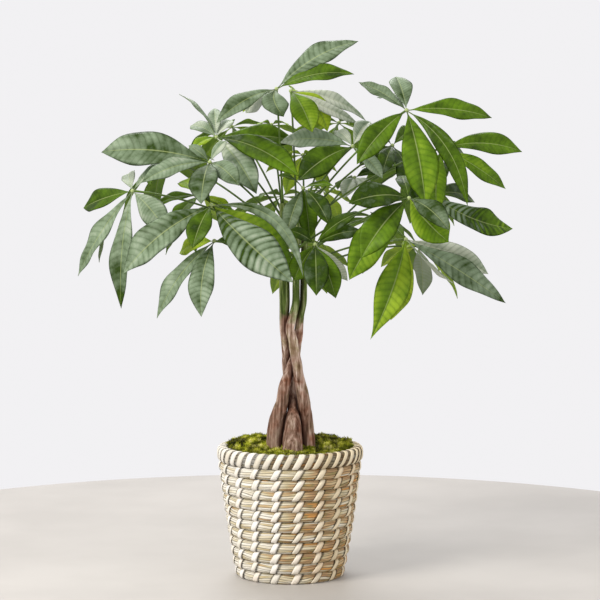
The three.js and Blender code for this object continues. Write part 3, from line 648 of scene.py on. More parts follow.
# %% Leaflet
def add_leaflet(bm, hub, tip, face, shape, tones, quilt, dice):
    """Add one leaflet from the hub to its tip, with its midrib."""
    share, roll, bow, taper = shape
    chord = tip - hub
    length = chord.length
    along = chord / length
    up = (face - along * face.dot(along)).normalized()
    up.rotate(Quaternion(along, math.radians(roll)))
    rise = Vector((0.0, 0.0, 1.0)) - along * along.z
    bend = (up + rise) * 0.5 * BLADE_ARCH * length + along.cross(up) * bow * length
    root = hub + along * BLADE_ROOT
    reach = tip - root
    twist = dice.uniform(-TWIST, TWIST)
    wave_count = dice.uniform(*WAVE_COUNTS)
    phases = (dice.uniform(0, 6.28), dice.uniform(0, 6.28))
    rows = []
    for i, width in enumerate(OUTLINE_STEPS):
        t = i / BLADE_ROWS
        width *= 1 - taper * t
        tangent = (chord + bend * (4 - 8 * t)).normalized()
        side = tangent.cross(up).normalized()
        side.rotate(Quaternion(tangent, twist * (t - TWIST_CENTRE)))
        centre = root + reach * t + bend * (4 * t * (1 - t))
        swell = (1 - math.cos(2 * math.pi * VEINS * t)) / 2
        rows.append((centre, tangent, side, side.cross(tangent), width, swell))

    def face_place(sign):
        def place(i, j):
            centre, tangent, side, normal, width, swell = rows[i]
            s = 2 * j / BLADE_COLUMNS - 1
            out = abs(s)
            half = width * share * length / 2
            forward = VEIN_SLANT * half * out ** 1.4
            height = half * (FOLD * out - FOLD_ROUNDING * s * s)
            ripple = math.sin(2 * math.pi * wave_count * i / BLADE_ROWS + phases[s > 0])
            height += WAVE * length * width * ripple * out ** 3
            height += quilt * length / VEINS * width * swell * math.sin(math.pi * out) ** 0.7
            height += sign * BLADE_THICKNESS / 2 * (1 - s ** 4)
            return centre + side * (s * half) + tangent * forward + normal * height
        return place

    usual_light = rows[BLADE_ROWS // 2][3].dot(TO_MAIN_LIGHT)
    sheen = PAINTED_CREST_SHEEN * (quilt / QUILT - 1)

    # Painted light: the half that faces the main light gets the stronger tone, and deep crests a painted
    # sheen in patches.
    def tone_at(i, j):
        centre, _, side, normal, _, swell = rows[i]
        s = 2 * j / BLADE_COLUMNS - 1
        slope = math.copysign(FOLD - 2 * FOLD_ROUNDING * abs(s), s)
        light = (normal - side * slope).normalized().dot(TO_MAIN_LIGHT)
        own = tones[0] + (tones[1] - tones[0]) * i / BLADE_ROWS
        cloud = noise.noise((centre + side * s * HALF_BLADE) / SHEEN_PATCH)
        patch = max(0.0, 1 + PATCH_CONTRAST * cloud)
        return own * (1 + PAINTED_LIT_SIDE * (light - usual_light)) + sheen * patch * (0.5 - swell)

    upper = shaped_grid(bm, BLADE_ROWS, BLADE_COLUMNS, face_place(1), UPPER_FACE, tone_at)
    lower = shaped_grid(bm, BLADE_ROWS, BLADE_COLUMNS, face_place(-1), LOWER_FACE, tone_at)
    weld(bm, upper + lower)

    rib_rows = rows[:BLADE_ROWS - 2:3]
    centres = [hub.copy()] + [row[0] - row[3] * RIB_SINK for row in rib_rows]
    swelling = (length / USUAL_LENGTH) ** 0.5
    last = len(centres) - 1
    radii = [(RIB_ROOT_RADIUS + (RIB_TIP_RADIUS - RIB_ROOT_RADIUS) * (k / last) ** 0.6) * swelling
             for k in range(last + 1)]
    tube(bm, centres, radii, RIB_SIDES, STALK, RIB_TONE)


# %% [markdown]
# ## Making a compound leaf
#
# The stalk leaves the stem's centre, rises a little above the straight line and
# ends in the hub. It is thicker at both ends, where the real one has its
# joint-like swellings. A curve with a bevel could make it too, but the tube
# joins the leaflets in the same mesh, so each leaf is one piece, as it grew.

# %% Compound leaves
PETIOLE_RADIUS = 1.2
PETIOLE_RISE = 0.12
PETIOLE_STEPS = 22
PETIOLE_SIDES = 10
PETIOLE_TONE = 0.05
# How much thicker the stalk is at its foot and at the hub, and how fast that fades along it
FOOT_SWELLING = 0.7
FOOT_FADE = 14
HUB_SWELLING = 0.35
HUB_FADE = 16
HUB_RADIUS = 2.6
HUB_TONE = 0.6
TONE_SPREAD = 0.1


def add_stalk(bm, start, hub):
    """Add the stalk from a stem's centre to the hub, and the hub."""
    middle = (start + hub) / 2 + Vector((0.0, 0.0, PETIOLE_RISE * (hub - start).length))
    centres = []
    radii = []
    for i in range(PETIOLE_STEPS + 1):
        t = i / PETIOLE_STEPS
        centres.append(start * (1 - t) ** 2 + middle * (2 * t * (1 - t)) + hub * t ** 2)
        ends = FOOT_SWELLING * math.exp(-t * FOOT_FADE) + HUB_SWELLING * math.exp(-(1 - t) * HUB_FADE)
        radii.append(PETIOLE_RADIUS * (1 + ends))
    tube(bm, centres, radii, PETIOLE_SIDES, STALK, PETIOLE_TONE)
    knob = bmesh.ops.create_icosphere(bm, subdivisions=2, radius=HUB_RADIUS, matrix=Matrix.Translation(hub))
    tones = bm.verts.layers.float["tone"]
    for corner in knob["verts"]:
        corner[tones] = HUB_TONE
    for face in {face for corner in knob["verts"] for face in corner.link_faces}:
        face.material_index = STALK
        face.smooth = True


def make_leaf(number, stem, root, hub, face, tone, leaflets):
    """Make one compound leaf and let it stand for its solid."""
    dice = random.Random(number)
    bm = new_piece()
    hub = Vector(hub)
    add_stalk(bm, stem_centre(stem, root), hub)
    for count, leaflet in enumerate(leaflets):
        tip = Vector(leaflet[:3])
        shape = (*leaflet[3:], *USUAL[len(leaflet) - 3:])
        own = TONES.get((number, count), tone + dice.uniform(-TONE_SPREAD, TONE_SPREAD))
        own_tones = own if isinstance(own, tuple) else (own, own)
        quilt = QUILT * DEEP_VEINS.get((number, count), 1.0)
        add_leaflet(bm, hub, tip, Vector(face).normalized(), shape, own_tones, quilt, dice)
    triangles = sum(len(f.verts) - 2 for f in bm.faces)
    finish_piece(bm, f"compound_leaf_{number:02d}", [leaf_above, leaf_below, leaf_stalk], "leaf",
                 f"leaf_{number:02d}")
    return triangles


leaf_triangles = 0
for number, leaf in enumerate(FRONT_LEAVES, 1):
    leaf_triangles += make_leaf(number, *leaf)
for number, (stem, root, hub, heading, size, tone) in enumerate(BACK_LEAVES, len(FRONT_LEAVES) + 1):
    face, tips = back_leaflets(Vector(hub), math.radians(heading), size)
    leaf_triangles += make_leaf(number, stem, root, hub, face, tone, tips)
print("leaf triangles", leaf_triangles)

# %% [markdown]
# ## Bark
#
# Below, the stems are woody: brown bark with pale streaks along the stem, rust
# in some places and olive in others, where the green tissue shows through. From
# about 320 mm up they are still green, and the young bark below that is paler
# and greyer than the old bark at the foot. The bark's ridges are real relief in
# the mesh, from noise that is stretched along the stem, and the shader adds the
# finer cracks. Where two stems press on each other the bark gets painted shade:
# the tone attribute, which is how far a place is from the next stem, darkens it.

# %% Bark material
BARK_TOP = 318.0
BARK_FADE = 12.0
# Streaks are 3 mm apart and patches 18 mm. Both are given in a metre.
BARK_STREAKS = 330.0
BARK_PATCHES = 55.0
# What old and young bark multiply the bark's colour by, in red, green, blue and alpha
OLD_BARK = (0.78, 0.78, 0.8, 1.0)
YOUNG_BARK = (1.55, 1.72, 1.9, 1.0)

bark, tree = new_material("ridged_bark_and_green_stem")
where = add_node(tree, "TexCoord")
stretched = add_node(tree, "Mapping", {"Vector": where.outputs["Object"], "Scale": (1.0, 1.0, 0.09)})
streaks = add_node(tree, "TexNoise", {"Vector": stretched, "Scale": BARK_STREAKS, "Detail": 4.0,
                                      "Roughness": 0.6})
patches = add_node(tree, "TexNoise", {"Vector": where.outputs["Object"], "Scale": BARK_PATCHES,
                                      "Detail": 3.0})
woody = add_node(tree, "ValToRGB", {"Fac": streaks},
                 stops=[(0.32, "#543c2c"), (0.44, "#846856"), (0.55, "#aa9080"), (0.68, "#d8c4b6")])
tint = add_node(tree, "ValToRGB", {"Fac": patches},
                stops=[(0.3, "#d0a288"), (0.42, "#f2ded2"), (0.52, "#fffaf4"), (0.62, "#dcd6ba"),
                       (0.7, "#bfb898")])
barky = add_node(tree, "Mix", {0: 1.0, MIX_A: woody, MIX_B: tint}, **MULTIPLY)
fresh = add_node(tree, "ValToRGB", {"Fac": streaks},
                 stops=[(0.3, "#2c3a10"), (0.5, "#5b6e2a"), (0.7, "#b0b685")])
split = add_node(tree, "SeparateXYZ", {"Vector": where.outputs["Object"]})
youth = add_node(tree, "MapRange", {"Value": split.outputs["Z"], "From Min": 0.21, "From Max": 0.3})
ageing = add_node(tree, "Mix", {0: youth, MIX_A: OLD_BARK, MIX_B: YOUNG_BARK}, **BLEND)
aged = add_node(tree, "Mix", {0: 1.0, MIX_A: barky, MIX_B: ageing}, **MULTIPLY)
ragged = add_node(tree, "MapRange", {"Value": patches, "From Min": 0.3, "From Max": 0.7, "To Min": -0.016,
                                     "To Max": 0.016})
height = add_node(tree, "Math", {0: split.outputs["Z"], 1: ragged}, operation="ADD")
green_share = add_node(tree, "MapRange", {"Value": height, "From Min": (BARK_TOP - BARK_FADE) * MM,
                                          "From Max": (BARK_TOP + BARK_FADE) * MM},
                       interpolation_type="SMOOTHSTEP")
colour = add_node(tree, "Mix", {0: green_share, MIX_A: aged, MIX_B: fresh}, **BLEND)
# Painted shade where two stems press together: the tone, the distance to the next stem, darkens the bark
tone = add_node(tree, "Attribute", attribute_name="tone")
stem_crease_shade = add_node(tree, "ValToRGB", {"Fac": tone.outputs["Fac"]},
                stops=[(0.0, "#56352a"), (0.35, "#a08a80"), (0.8, "#ffffff")])
crease_shaded_bark = add_node(tree, "Mix", {0: 1.0, MIX_A: colour, MIX_B: stem_crease_shade}, **MULTIPLY)
bump = add_node(tree, "Bump", {"Height": streaks, "Strength": 0.4, "Distance": 0.0008})
skin = add_node(tree, "BsdfPrincipled", {"Base Color": crease_shaded_bark, "Roughness": 0.72,
                                         "Specular IOR Level": 0.25, "Normal": bump})
add_node(tree, "OutputMaterial", {"Surface": skin})
print("bark turns green at mm", BARK_TOP)

# %% [markdown]
# ## Making the stems
#
# Each stem is a tube of many sides through its rows. Its radius swells and
# shrinks with stretched noise, strongly in the bark and hardly at all in the
# green part, and old leaf scars make faint knots. A displacement in the shader
# could give such ridges, but a glTF file does not carry it, and a mesh keeps them.

# %% Stems
STEM_STEP = 2.0
STEM_SIDES = 44
RIDGE_WIDTH = 4.0
RIDGE_LENGTH = 38.0
# Depths are shares of the radius
RIDGE_DEPTH = 0.07
KNOT_LENGTH = 9.0
KNOT_DEPTH = 0.04
# How much narrower than ridges knots are counted round the stem
KNOT_SPREAD = 0.35
BARK_SWELL = 0.015
GREEN_RELIEF = 0.25
# How far from the next stem the painted shade in the crease between two stems reaches
CREASE_WIDTH = 9.0


def gap_to_next(name, place):
    """How far a place is from the surface of the nearest other stem."""
    gaps = []
    for other, rows in STEM_ROWS.items():
        if other != name:
            x, y, diameter = read_rows(rows, place.z)
            gaps.append(math.hypot(place.x - x, place.y - y) - diameter / 2)
    return min(gaps)


def make_stem(number, name):
    """Make one stem with its ridged bark."""
    rows = STEM_ROWS[name]
    bottom = rows[0][0]
    top = rows[-1][0]
    steps = round((top - bottom) / STEM_STEP)
    centres = []
    radii = []
    for i in range(steps + 1):
        height = bottom + (top - bottom) * i / steps
        x, y, diameter = read_rows(rows, height)
        centres.append(Vector((x, y, height)))
        radii.append(diameter / 2)

    def relief(i, angle):
        height = centres[i].z
        woody = 1.0 if height < BARK_TOP else GREEN_RELIEF
        around = Vector((math.cos(angle), math.sin(angle), 0.0)) * radii[i] / RIDGE_WIDTH
        ridge = noise.noise(around + Vector((number * 9.0, 0.0, height / RIDGE_LENGTH)))
        knot = noise.noise(around * KNOT_SPREAD + Vector((0.0, number * 5.0, height / KNOT_LENGTH)))
        return 1 + woody * (BARK_SWELL + RIDGE_DEPTH * ridge + KNOT_DEPTH * knot)

    bm = new_piece()
    tube(bm, centres, radii, STEM_SIDES, 0, 0.5, relief)
    # The tone is the distance to the next stem, which the shader turns into painted shade
    tones = bm.verts.layers.float["tone"]
    for corner in bm.verts:
        corner[tones] = clamp(gap_to_next(name, corner.co) / CREASE_WIDTH)
    return finish_piece(bm, f"{name}_bark", [bark], "stem", name)


for number, name in enumerate(STEM_ROWS):
    stem = make_stem(number, name)
    print(stem.name, "faces", len(stem.data.polygons))

# %% [markdown]
# ## Moss
#
# The soil is hidden by sheet moss: bright yellow-green cushions a few
# millimetres across, with dark gaps between them, made of tiny upright shoots.
# The mound is a grid wrapped over the crown and back underneath. Its cushions
# come from cell noise, and the depth of each gap is kept in the tone attribute,
# which the shader darkens as painted shade. Several thousand slim three-sided
# shoots stand on it, and those in the gaps are painted darker too.
# Hair could make them too, but only meshes carry over into a glTF file, so each is a small cone.
# In front the moss lies lower, so the stems' feet show behind the rim, and on the
# left, where more light falls, it is painted brighter, as painted light.

# %% Moss material
# Clumps are 9 mm across, given in a metre
MOSS_CLUMPS = 110.0

moss_green, tree = new_material("sheet_moss")
where = add_node(tree, "TexCoord")
clumps = add_node(tree, "TexNoise", {"Vector": where.outputs["Object"], "Scale": MOSS_CLUMPS,
                                     "Detail": 4.0})
hue = add_node(tree, "ValToRGB", {"Fac": clumps},
               stops=[(0.32, "#4c540a"), (0.44, "#8c9220"), (0.55, "#bcbe3e"), (0.68, "#eae48e")])
# Painted shade: the tone darkens the gaps between cushions.
tone = add_node(tree, "Attribute", attribute_name="tone")
shaded = add_node(tree, "Mix", {0: tone.outputs["Fac"], MIX_A: linear("#181a02"), MIX_B: hue}, **BLEND)
# Painted light: the moss is brighter towards the left.
place = add_node(tree, "SeparateXYZ", {"Vector": where.outputs["Object"]})
moss_left_light = add_node(tree, "MapRange", {"Value": place.outputs["X"], "From Min": -0.06, "From Max": 0.04,
                                     "To Min": 1.3, "To Max": 0.85})
moss_with_painted_light = add_node(tree, "Mix", {0: 1.0, MIX_A: shaded, MIX_B: moss_left_light}, **MULTIPLY)
skin = add_node(tree, "BsdfPrincipled", {"Base Color": moss_with_painted_light, "Roughness": 0.9, "Specular IOR Level": 0.1})
add_node(tree, "OutputMaterial", {"Surface": skin})
print(moss_green.name, "has", len(tree.nodes), "nodes")

# %% Moss mound
MOSS_EDGE = 80.0
MOSS_EDGE_HEIGHT = 160.6
MOSS_CROWN = 165.5
MOSS_FOOT = 150.0
# How much lower the moss lies in front, from which place forward and over which length
FRONT_SINK = 0.7
SINK_START = 25
SINK_LENGTH = 40
CUSHION_SIZE = 11.0
CUSHION_HEIGHT = 3.6
# How fast a cushion falls off to its gap, and the size in mm and share of the grain on it
CUSHION_FALL = 1.9
GRAIN_SIZE = 3.5
GRAIN_SHARE = 0.35
# The tone on top of a cushion of the bare mound
MOUND_TONE = 0.85
# Broad swellings under the cushions, the share of the profile where both end, and how fast
BROAD_HEIGHT = 2.2
BROAD_LENGTH = 26.0
LUMPS_END = 0.9
LUMPS_FADE = 12
MOSS_ROWS = 64
MOSS_COLUMNS = 170
# Radius and height from the crown's middle over the edge and back under the moss
MOSS_PROFILE = [(0.0, 0.0, MOSS_CROWN), (0.5, 48.0, MOSS_CROWN), (0.7, 66.0, MOSS_CROWN - 1.5),
                (0.82, 77.0, MOSS_EDGE_HEIGHT + 2.0), (0.88, MOSS_EDGE, MOSS_EDGE_HEIGHT),
                (0.92, 74.5, 154.0), (1.0, 0.0, MOSS_FOOT)]


def cushion(x, y):
    """How high the moss stands at a place, from 0 in a gap to 1 on a cushion."""
    apart = noise.voronoi(Vector((x / CUSHION_SIZE, y / CUSHION_SIZE, 0.0)))[0][0]
    small = noise.noise(Vector((x, y, 7.0)) / GRAIN_SIZE)
    return clamp(1 - CUSHION_FALL * apart * apart + GRAIN_SHARE * small)


def moss_surface(share, angle):
    """The point of the moss at a share of its profile, and how high its cushion stands."""
    radius, height = read_rows(MOSS_PROFILE, share)
    x = radius * math.sin(angle)
    y = -radius * math.cos(angle)
    sink = FRONT_SINK * clamp((SINK_START - y) / SINK_LENGTH)
    height -= (height - MOSS_FOOT) * sink
    swell = cushion(x, y)
    lift = clamp((LUMPS_END - share) * LUMPS_FADE)
    broad = noise.noise(Vector((x, y, 0.0)) / BROAD_LENGTH)
    return Vector((x, y, height + lift * (CUSHION_HEIGHT * (swell - 0.5) + BROAD_HEIGHT * broad))), swell


def place_moss(i, j):
    """The point of the moss at a corner of its grid."""
    return moss_surface(i / MOSS_ROWS, 2 * math.pi * j / MOSS_COLUMNS)[0]


bm = new_piece()
tones = bm.verts.layers.float["tone"]
corners = shaped_grid(bm, MOSS_ROWS, MOSS_COLUMNS, place_moss)
for corner in corners:
    corner[tones] = MOUND_TONE * cushion(corner.co.x, corner.co.y) ** 2
weld(bm, corners)
print("moss mound faces", len(bm.faces))

# %% Moss shoots
MOSS_SHOOTS = 9000
SHOOTS_IN_PATCH = 100
SHOOT_LENGTHS = (1.6, 3.6)
SHOOT_LEAN = 0.55
SHOOT_FOOT_RADIUS = 0.55
SHOOT_TIP_RADIUS = 0.08
# How high over the surface a shoot's middle stands, as a share of its length
SHOOT_MIDDLE = 0.4
# A shoot's tone, which the shader darkens as painted shade: the share of its cushion, and the share of chance
SHOOT_TONES = (0.9, 0.3)
# Where on the profile the last shoots stand. A power near a half spreads them evenly.
SHOOTS_END = 0.86
SHOOTS_POWER = 0.62


def join_patch(bm, patch):
    """Add a patch of shoots to the whole moss at once, as operators are quick on small meshes."""
    mesh = bpy.data.meshes.new("patch")
    patch.to_mesh(mesh)
    patch.free()
    bm.from_mesh(mesh)
    bpy.data.meshes.remove(mesh)


dice = random.Random(7)
patch = new_piece()
for number in range(MOSS_SHOOTS):
    share = SHOOTS_END * dice.random() ** SHOOTS_POWER
    foot, swell = moss_surface(share, dice.uniform(0, 2 * math.pi))
    lean = Vector((dice.gauss(0, SHOOT_LEAN), dice.gauss(0, SHOOT_LEAN), 1.0)).normalized()
    long = dice.uniform(*SHOOT_LENGTHS)
    turned = lean.to_track_quat("Z", "Y").to_matrix().to_4x4()
    middle = Matrix.Translation(foot + lean * long * SHOOT_MIDDLE)
    shoot = bmesh.ops.create_cone(patch, cap_ends=True, segments=3, radius1=SHOOT_FOOT_RADIUS,
                                  radius2=SHOOT_TIP_RADIUS, depth=long, matrix=middle @ turned)
    patch_tones = patch.verts.layers.float["tone"]
    for corner in shoot["verts"]:
        corner[patch_tones] = min(1.0, SHOOT_TONES[0] * swell ** 1.5 + SHOOT_TONES[1] * dice.random())
    if (number + 1) % SHOOTS_IN_PATCH == 0:
        join_patch(bm, patch)
        patch = new_piece()
moss = finish_piece(bm, "sheet_moss", [moss_green], "moss", "moss")
print("moss faces", len(moss.data.polygons))

# %% [markdown]
# ## Seagrass
#
# The basket is coiled: bundles of dried seagrass go round and round, and pale
# straps of palm leaf bind each round to the one below. Dried seagrass runs from
# grey-green through straw to a warm brown, strand by strand. On the UV map one
# unit across is one strand and one unit along is the way from one strap to the
# next, so the shader can let each strand change colour on its own, paint shade
# into the creases between strands and draw fine fibres along them. It also paints
# shade on the bundle beside a strap, where the strap pulls it in and shades it,
# and this painted shadow lies a little to one side. The tone attribute says how
# much of the way half a strap covers. Towards the left the strands are painted
# paler: partly their own colour, as that side had more light and has bleached,
# partly painted light from that side. A strand keeps its colour for about two
# straps, 60 mm, and its fibres, 0.4 mm wide, are drawn as coarse as they need to show.

# %% Seagrass material
# How far the painted shadow lies to one side of its strap, as a share of the way between straps
SHADOW_SIDE = 0.025
# How many changes there are from strap to strap and from strand to strand, in colour and in fibres
COLOUR_SCALE = (0.43, 5.7, 1.0)
FIBRE_SCALE = (1.4, 6.0, 1.0)

seagrass, tree = new_material("dried_seagrass")
where = add_node(tree, "TexCoord")
split = add_node(tree, "SeparateXYZ", {"Vector": where.outputs["UV"]})
strand = add_node(tree, "Math", {0: split.outputs["Y"]}, operation="FLOOR")
strand_line = add_node(tree, "CombineXYZ", {"X": split.outputs["X"], "Y": strand})
line_map = add_node(tree, "Mapping", {"Vector": strand_line, "Scale": COLOUR_SCALE})
own = add_node(tree, "TexNoise", {"Vector": line_map, "Scale": 1.0, "Detail": 2.0})
place = add_node(tree, "SeparateXYZ", {"Vector": where.outputs["Object"]})
# Paler towards the left: partly the strands' bleached colour, partly painted light from the left
paler_left_and_lit = add_node(tree, "MapRange", {"Value": place.outputs["X"], "From Min": -0.035, "From Max": 0.03,
                                      "To Min": -0.36, "To Max": 0.16})
spread = add_node(tree, "MapRange", {"Value": own, "From Min": 0.32, "From Max": 0.68}, clamp=False)
toned = add_node(tree, "Math", {0: spread, 1: paler_left_and_lit}, operation="ADD")
hue = add_node(tree, "ValToRGB", {"Fac": toned},
               stops=[(0.0, "#ece7da"), (0.25, "#dcd3bb"), (0.45, "#cbbd97"), (0.62, "#c4a67b"),
                      (0.78, "#ae8a63"), (0.9, "#948659"), (1.0, "#cc9553")])
fibre_map = add_node(tree, "Mapping", {"Vector": where.outputs["UV"], "Scale": FIBRE_SCALE})
fibres = add_node(tree, "TexNoise", {"Vector": fibre_map, "Scale": 1.0, "Detail": 4.0})
streaky = add_node(tree, "MapRange", {"Value": fibres, "From Min": 0.3, "From Max": 0.7, "To Min": 0.66,
                                      "To Max": 1.18})
# Painted shade in the creases between strands
to_crease = add_node(tree, "Math", {0: split.outputs["Y"], 1: 0.5}, operation="PINGPONG")
strand_crease_shade = add_node(tree, "MapRange", {"Value": to_crease, "From Min": 0.0, "From Max": 0.22,
                                      "To Min": 0.3, "To Max": 1.0}, interpolation_type="SMOOTHSTEP")
# Painted shadow beside each strap, a little to one side, reaching further on the rim
tone = add_node(tree, "Attribute", attribute_name="tone")
from_strap = add_node(tree, "Math", {0: split.outputs["X"], 1: 0.5 - SHADOW_SIDE}, operation="ADD")
turned = add_node(tree, "Math", {0: from_strap}, operation="FRACT")
centred = add_node(tree, "Math", {0: turned, 1: 0.5}, operation="SUBTRACT")
beside = add_node(tree, "Math", {0: centred}, operation="ABSOLUTE")
bare = add_node(tree, "Math", {0: beside, 1: tone.outputs["Fac"]}, operation="SUBTRACT")
strap_side_shadow = add_node(tree, "MapRange", {"Value": bare, "From Min": 0.0, "From Max": 0.08, "To Min": 0.34,
                                      "To Max": 1.0}, interpolation_type="SMOOTHSTEP")
crease_and_strap_shade = add_node(tree, "Math", {0: strand_crease_shade, 1: strap_side_shadow}, operation="MULTIPLY")
dim = add_node(tree, "Math", {0: streaky, 1: crease_and_strap_shade}, operation="MULTIPLY")
shade = add_node(tree, "Mix", {0: 1.0, MIX_A: hue, MIX_B: dim}, **MULTIPLY)
bump = add_node(tree, "Bump", {"Height": fibres, "Strength": 0.6, "Distance": 0.0006})
skin = add_node(tree, "BsdfPrincipled", {"Base Color": shade, "Roughness": 0.66,
                                         "Specular IOR Level": 0.25, "Normal": bump})
add_node(tree, "OutputMaterial", {"Surface": skin})
print(seagrass.name, "has", len(tree.nodes), "nodes")

# %% [markdown]
# ## Coils
#
# A coil's section is a ring of strands, so its radius follows the sine of the
# section angle and dips to a crease between strands. The strands wander a little
# round the coil as they go, the bundle swells between its bindings, and a coil
# that is wound by hand strays up and down. The inner side is plain, because the
# pot hides it. Twelve coils make the wall, the top one is the rim, and flatter
# coils inside the lowest one make the bottom, which the plant's weight has
# pressed flat. A grid has two ends, so each coil begins under a strap at the back.
#
# Every strand could be a curve of its own, but that takes far more faces and
# leaves slits between the strands, so a coil is one grid with their relief.

# %% Sizes of the basket
COIL_ROWS = 12
RIM_ROW = COIL_ROWS - 1
BASKET_HEIGHT = 159.6
RIM_COIL = 17.5
COIL_PITCH = (BASKET_HEIGHT - RIM_COIL) / (COIL_ROWS - 1)
COIL_DEPTH = 13.3
FOOT_RADIUS = 67.0
RIM_RADIUS = 89.0
FLARE_POWER = 0.84
COIL_HALF_DEPTH = 6.2
FLOOR_COIL_HALF = 4.4
BOTTOM_COILS = 4
# The power of the section's sine and cosine: 1 gives an ellipse, 0 a rectangle
SQUARENESS = 0.74
# Cells round the section: three to a strand outside, and a few plain ones inside
STRANDS = 18
STRAND_CELLS = 3
OUTER_CELLS = 39
INNER_CELLS = 5
# Relief in mm: creases, each strand's own swelling, and the pinch of the straps
STRAND_RELIEF = 0.8
MEAN_CREASE = 0.6
OWN_SWELL = 0.6
OWN_SWELL_LENGTH = 22.0
PINCH = 0.4
# The share of the relief that shows up and down, where coils touch, and the most it may be in mm
TOUCHING_RELIEF = 0.3
TOUCHING_LIMIT = 0.6
# How far in radians, and over which length, the strands wander round the section
STRAND_WANDER = 0.45
STRAND_WANDER_LENGTH = 34.0
STRAP_SPACING = 26.8
STRAP_START = math.radians(7)
STRAP_HALF_WIDTH = 3.8
STRAP_LEAN = 0.27
RIM_STRAPS = 44
RIM_STRAP_HALF_WIDTH = 3.95
RIM_STRAP_LEAN = 0.26
# How much less than in front a strap leans on the left, and more on the right
LEAN_CHANGE = 0.4
# How much wider than in front the rim's straps are on the left, and narrower on the right
RIM_WIDTH_CHANGE = 0.12
# How much wider than the strap the painted shadow under it is on the rim, where straps lie close
RIM_SHADOW = 1.42
# How high, and over which length, a coil strays
WANDER_HEIGHT = 0.9
WANDER_LENGTH = 45.0
CELLS_A_STRAP = 6
MOST_CELLS = 120
print("a coil is", round(COIL_PITCH, 1), "mm high")


# %% Where coils and straps lie
def section_point(angle):
    """A point on a rounded square section: its share outwards and its share upwards."""
    out = math.copysign(abs(math.cos(angle)) ** SQUARENESS, math.cos(angle))
    up = math.copysign(abs(math.sin(angle)) ** SQUARENESS, math.sin(angle))
    return out, up


def coil_radius(row):
    """Outer radius of a coil of the wall, with row 0 at the foot."""
    return FOOT_RADIUS + (RIM_RADIUS - FOOT_RADIUS) * (row / (COIL_ROWS - 1)) ** FLARE_POWER


def strap_count(radius):
    """How many straps bind a coil, as they are set a fixed distance apart."""
    return max(4, round(2 * math.pi * (radius + COIL_DEPTH / 2) / STRAP_SPACING))


def lean_at(turn):
    """How much of the usual lean a strap has: less on the left, more on the right."""
    return 1 + LEAN_CHANGE * math.sin(turn)


def wander_at(number, place):
    """How far a hand-wound coil strays up or down. The rim, the foot and the bottom lie level."""
    if not 0 < number < RIM_ROW:
        return 0.0
    return WANDER_HEIGHT * noise.noise(place / WANDER_LENGTH + Vector((0.0, 0.0, number * 5.3)))


print("straps round the foot", strap_count(FOOT_RADIUS - COIL_DEPTH / 2))


# %% Coils
def add_coil(bm, number, coil, strap):
    """Add one coil of seagrass, bound by its straps. It begins and ends under a strap at the back."""
    radius, height, half_height, straps = coil
    half_width, lean_share, _ = strap
    start = STRAP_START + 2 * math.pi * (straps // 2) / straps
    spacing = 2 * math.pi * radius / straps
    lean = lean_share * 2 * half_height / spacing
    cells_round = min(CELLS_A_STRAP * straps, MOST_CELLS)
    step = 2 * math.pi / STRANDS / STRAND_CELLS
    angles = [step * (j - OUTER_CELLS / 2) for j in range(OUTER_CELLS + 1)]
    gap = (2 * math.pi - (angles[-1] - angles[0])) / INNER_CELLS
    angles += [angles[-1] + gap * (k + 1) for k in range(INNER_CELLS)]

    def place(i, j):
        turn = start + 2 * math.pi * i / cells_round
        round_place = Vector((math.sin(turn), -math.cos(turn), 0.0)) * radius
        own_place = round_place / STRAND_WANDER_LENGTH + Vector((0.0, 0.0, number * 3.7))
        wander = STRAND_WANDER * noise.noise(own_place)
        crease = math.sin(math.pi * (j % STRAND_CELLS) / STRAND_CELLS) if j <= OUTER_CELLS else 0.5
        strand = j // STRAND_CELLS
        own = noise.noise(round_place / OWN_SWELL_LENGTH + Vector((strand * 4.1, number * 2.3, 0.0)))
        pinch = PINCH * math.cos(straps * (turn - STRAP_START))
        bulge = STRAND_RELIEF * (crease - MEAN_CREASE) + OWN_SWELL * own - pinch
        out, up = section_point(angles[j] + wander)
        distance = radius + (COIL_HALF_DEPTH + bulge) * out
        rise = (half_height + TOUCHING_RELIEF * min(bulge, TOUCHING_LIMIT)) * up
        rise += wander_at(number, round_place)
        return Vector((math.sin(turn) * distance, -math.cos(turn) * distance, max(height + rise, 0.0)))

    def strand_map(u, v):
        cell = v * (OUTER_CELLS + INNER_CELLS)
        up = section_point(angles[round(cell)])[1]
        along = straps * u - lean * lean_at(start + 2 * math.pi * u) * up
        return along, cell / STRAND_CELLS + 20 * number

    covered = half_width / spacing * (RIM_SHADOW if number == RIM_ROW else 1.0)
    corners = shaped_grid(bm, cells_round, OUTER_CELLS + INNER_CELLS, place, 0, covered, strand_map)
    weld(bm, corners)


# A strap is its half width, its lean and the section angle of its middle. A coil is its middle
# radius and height, half its height and how many straps it has. Each coil is kept with its strap.
WALL_STRAP = (STRAP_HALF_WIDTH, STRAP_LEAN, 0.0)
RIM_STRAP = (RIM_STRAP_HALF_WIDTH, RIM_STRAP_LEAN, math.radians(25))
BOTTOM_STRAP = (STRAP_HALF_WIDTH, STRAP_LEAN, math.radians(-90))
coils = []
for row in range(COIL_ROWS - 1):
    middle = coil_radius(row) - COIL_DEPTH / 2
    coils.append(((middle, (row + 0.5) * COIL_PITCH, COIL_PITCH / 2, strap_count(middle)), WALL_STRAP))
rim_coil = (RIM_RADIUS - COIL_DEPTH / 2, BASKET_HEIGHT - RIM_COIL / 2, RIM_COIL / 2, RIM_STRAPS)
coils.append((rim_coil, RIM_STRAP))
for ring in range(1, BOTTOM_COILS + 1):
    middle = coil_radius(0) - COIL_DEPTH / 2 - ring * COIL_DEPTH
    coils.append(((middle, FLOOR_COIL_HALF, FLOOR_COIL_HALF, strap_count(middle)), BOTTOM_STRAP))
bm = new_piece()
for number, (coil, strap) in enumerate(coils):
    add_coil(bm, number, coil, strap)
